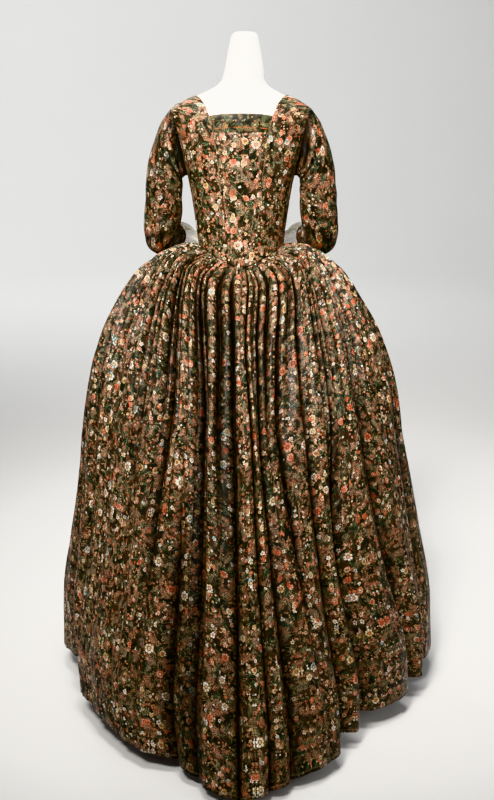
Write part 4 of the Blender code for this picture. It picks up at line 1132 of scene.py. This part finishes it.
def makeForm():
    angle = np.linspace(-math.pi, math.pi, form["around"] + 1)
    rings = [formRing(section, angle) for section in form["hips"]]
    rings += [trunkRing(height, angle) for height in form["trunk"]]
    rings += [formRing(section, angle) for section in form["neck"]]
    points, _ = loftThrough(rings, form["rows"])
    foot, top = smaller(points[:1], form["plate"]), smaller(points[-1:], form["dome"])
    points = np.concatenate(foot + [points] + top)
    low, high = form["lean"]
    share = np.clip((points[..., 2] - low) / (high - low), 0, 1)
    points[..., 0] += form["neckLean"] * share**2 * (3 - 2 * share)
    points[:, -1] = points[:, 0]
    around, up = runAlong(points, 1), runAlong(points, 0)
    # a smooth painted cover over jersey: the knit only just shows
    cover = makePaint("white form cover", (0.56, 0.66), (14.0, 3.0, 0.35),
                      ((0.80, 0.80, 0.785), (0.85, 0.85, 0.84)), (900.0, 0.15, 0.0002))
    made = clothObject("dressForm", points, facePlaces(around, up), points[:, :-1].mean(axis=1),
                       (1.0 + 0 * up, up), (cover,), 0, None, True)
    mesh = bmesh.new()
    mesh.from_mesh(made.data)
    bmesh.ops.holes_fill(mesh, edges=[edge for edge in mesh.edges if edge.is_boundary], sides=0)
    bmesh.ops.recalc_face_normals(mesh, faces=mesh.faces)
    mesh.to_mesh(made.data)
    mesh.free()
    made.data.set_sharp_from_angle(angle=math.radians(60))
    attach(made, "root")
    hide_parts("form_body")


makeForm()
standPaint = makePaint("white stove enamel", (0.32, 0.46), (30.0, 4.0, 0.4),
                       ((0.74, 0.74, 0.72), (0.80, 0.80, 0.785)), (260.0, 0.12, 0.0004))
for node in ("stand_base", "stand_pole"):
    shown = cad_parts[node]
    for slot in range(max(1, len(shown.material_slots))):
        if shown.material_slots:
            shown.material_slots[slot].material = standPaint
        else:
            shown.data.materials.append(standPaint)
print("form and stand made")

# floor, light and camera
stage = {"flat": 7.0, "curve": 3.0, "wall": 7.0, "tone": (0.585, 0.585, 0.58)}
lamps = (
    # name, place, aim, size, watts, spread in degrees, colour
    ("keyLamp", (0.8, 2.9, 3.7), (-0.02, 0.1, 1.26), 1.0, 30.0, 42, (1.0, 0.96, 0.91)),
    ("sideLamp", (-3.2, 2.3, 2.2), (-0.2, 0.0, 0.75), 1.6, 5.0, 60, (1.0, 0.98, 0.95)),
    ("topLamp", (0.0, 0.9, 4.0), (0.0, 0.05, 1.0), 1.2, 9.0, 46, (1.0, 0.98, 0.95)),
    ("frontLamp", (1.2, -3.6, 2.8), (0.0, 0.0, 0.9), 1.6, 6.0, 60, (1.0, 0.98, 0.95)),
    ("backdropLamp", (1.3, -5.4, 5.0), (1.5, -8.6, 1.6), 6.0, 360.0, 180, (1.0, 0.995, 0.985)),
)
skyStrength = 0.48
camera = {"distance": 2.8, "height": 1.30, "pitch": 13.105, "lens": 56.905, "shift": 0.0075}


def makeStage():
    flat, curve, bends = stage["flat"], stage["curve"], 12
    profile = [(x, 0) for x in (0.0, 1.5, 4.0, flat)]
    for i in range(1, bends + 1):
        angle = math.radians(90 * i / bends)
        profile.append((flat + curve * math.sin(angle), curve * (1 - math.cos(angle))))
    profile.append((flat + curve, stage["wall"]))
    mesh = bmesh.new()
    corners = [mesh.verts.new((x, 0.0, z)) for x, z in profile]
    edges = [mesh.edges.new(pair) for pair in zip(corners, corners[1:])]
    bmesh.ops.spin(mesh, geom=corners + edges, cent=(0, 0, 0), axis=(0, 0, 1), angle=2 * math.pi,
                   steps=96, use_merge=True)
    bmesh.ops.remove_doubles(mesh, verts=mesh.verts, dist=1e-5)
    bmesh.ops.recalc_face_normals(mesh, faces=mesh.faces)
    if sum(face.normal.z for face in mesh.faces) < 0:
        bmesh.ops.reverse_faces(mesh, faces=mesh.faces)
    data = bpy.data.meshes.new("studioFloor")
    mesh.to_mesh(data)
    mesh.free()
    data.shade_smooth()
    look, tree, shader = newMaterial("pale paper", 0.9)
    shader.inputs["Specular IOR Level"].default_value = 0.1
    place = Wire(tree.nodes.new("ShaderNodeTexCoord").outputs["Object"])
    cloud = ease(noiseOf(place, 0.5, flat=False), 0.3, 0.7)
    feed(shader.inputs["Base Color"], overlay(cloud, stage["tone"], [0.985 * c for c in stage["tone"]]))
    data.materials.append(look)
    linked("studioFloor", data)


makeStage()
for name, place, aim, size, watts, spread, colour in lamps:
    data = bpy.data.lights.new(name, "AREA")
    data.shape, data.size, data.spread = "DISK", size, math.radians(spread)
    data.energy, data.color = watts, colour
    lamp = linked(name, data)
    lamp.location = place
    lamp.rotation_euler = (Vector(aim) - Vector(place)).to_track_quat("-Z", "Y").to_euler()
world = bpy.context.scene.world or bpy.data.worlds.new("studio")
bpy.context.scene.world = world
world.use_nodes = True
sky = world.node_tree.nodes["Background"]
sky.inputs["Color"].default_value = (0.97, 0.98, 1.0, 1.0)
sky.inputs["Strength"].default_value = skyStrength

viewer = linked("viewer", bpy.data.cameras.new("viewer"))
viewer.location = (0.0, camera["distance"], camera["height"])
viewer.rotation_euler = (math.pi / 2 - math.radians(camera["pitch"]), 0.0, math.pi)
viewer.data.lens = camera["lens"]
viewer.data.shift_x = camera["shift"]
bpy.context.scene.camera = viewer
bpy.context.scene.view_settings.view_transform = "Khronos PBR Neutral"
print("stage, light and camera made")
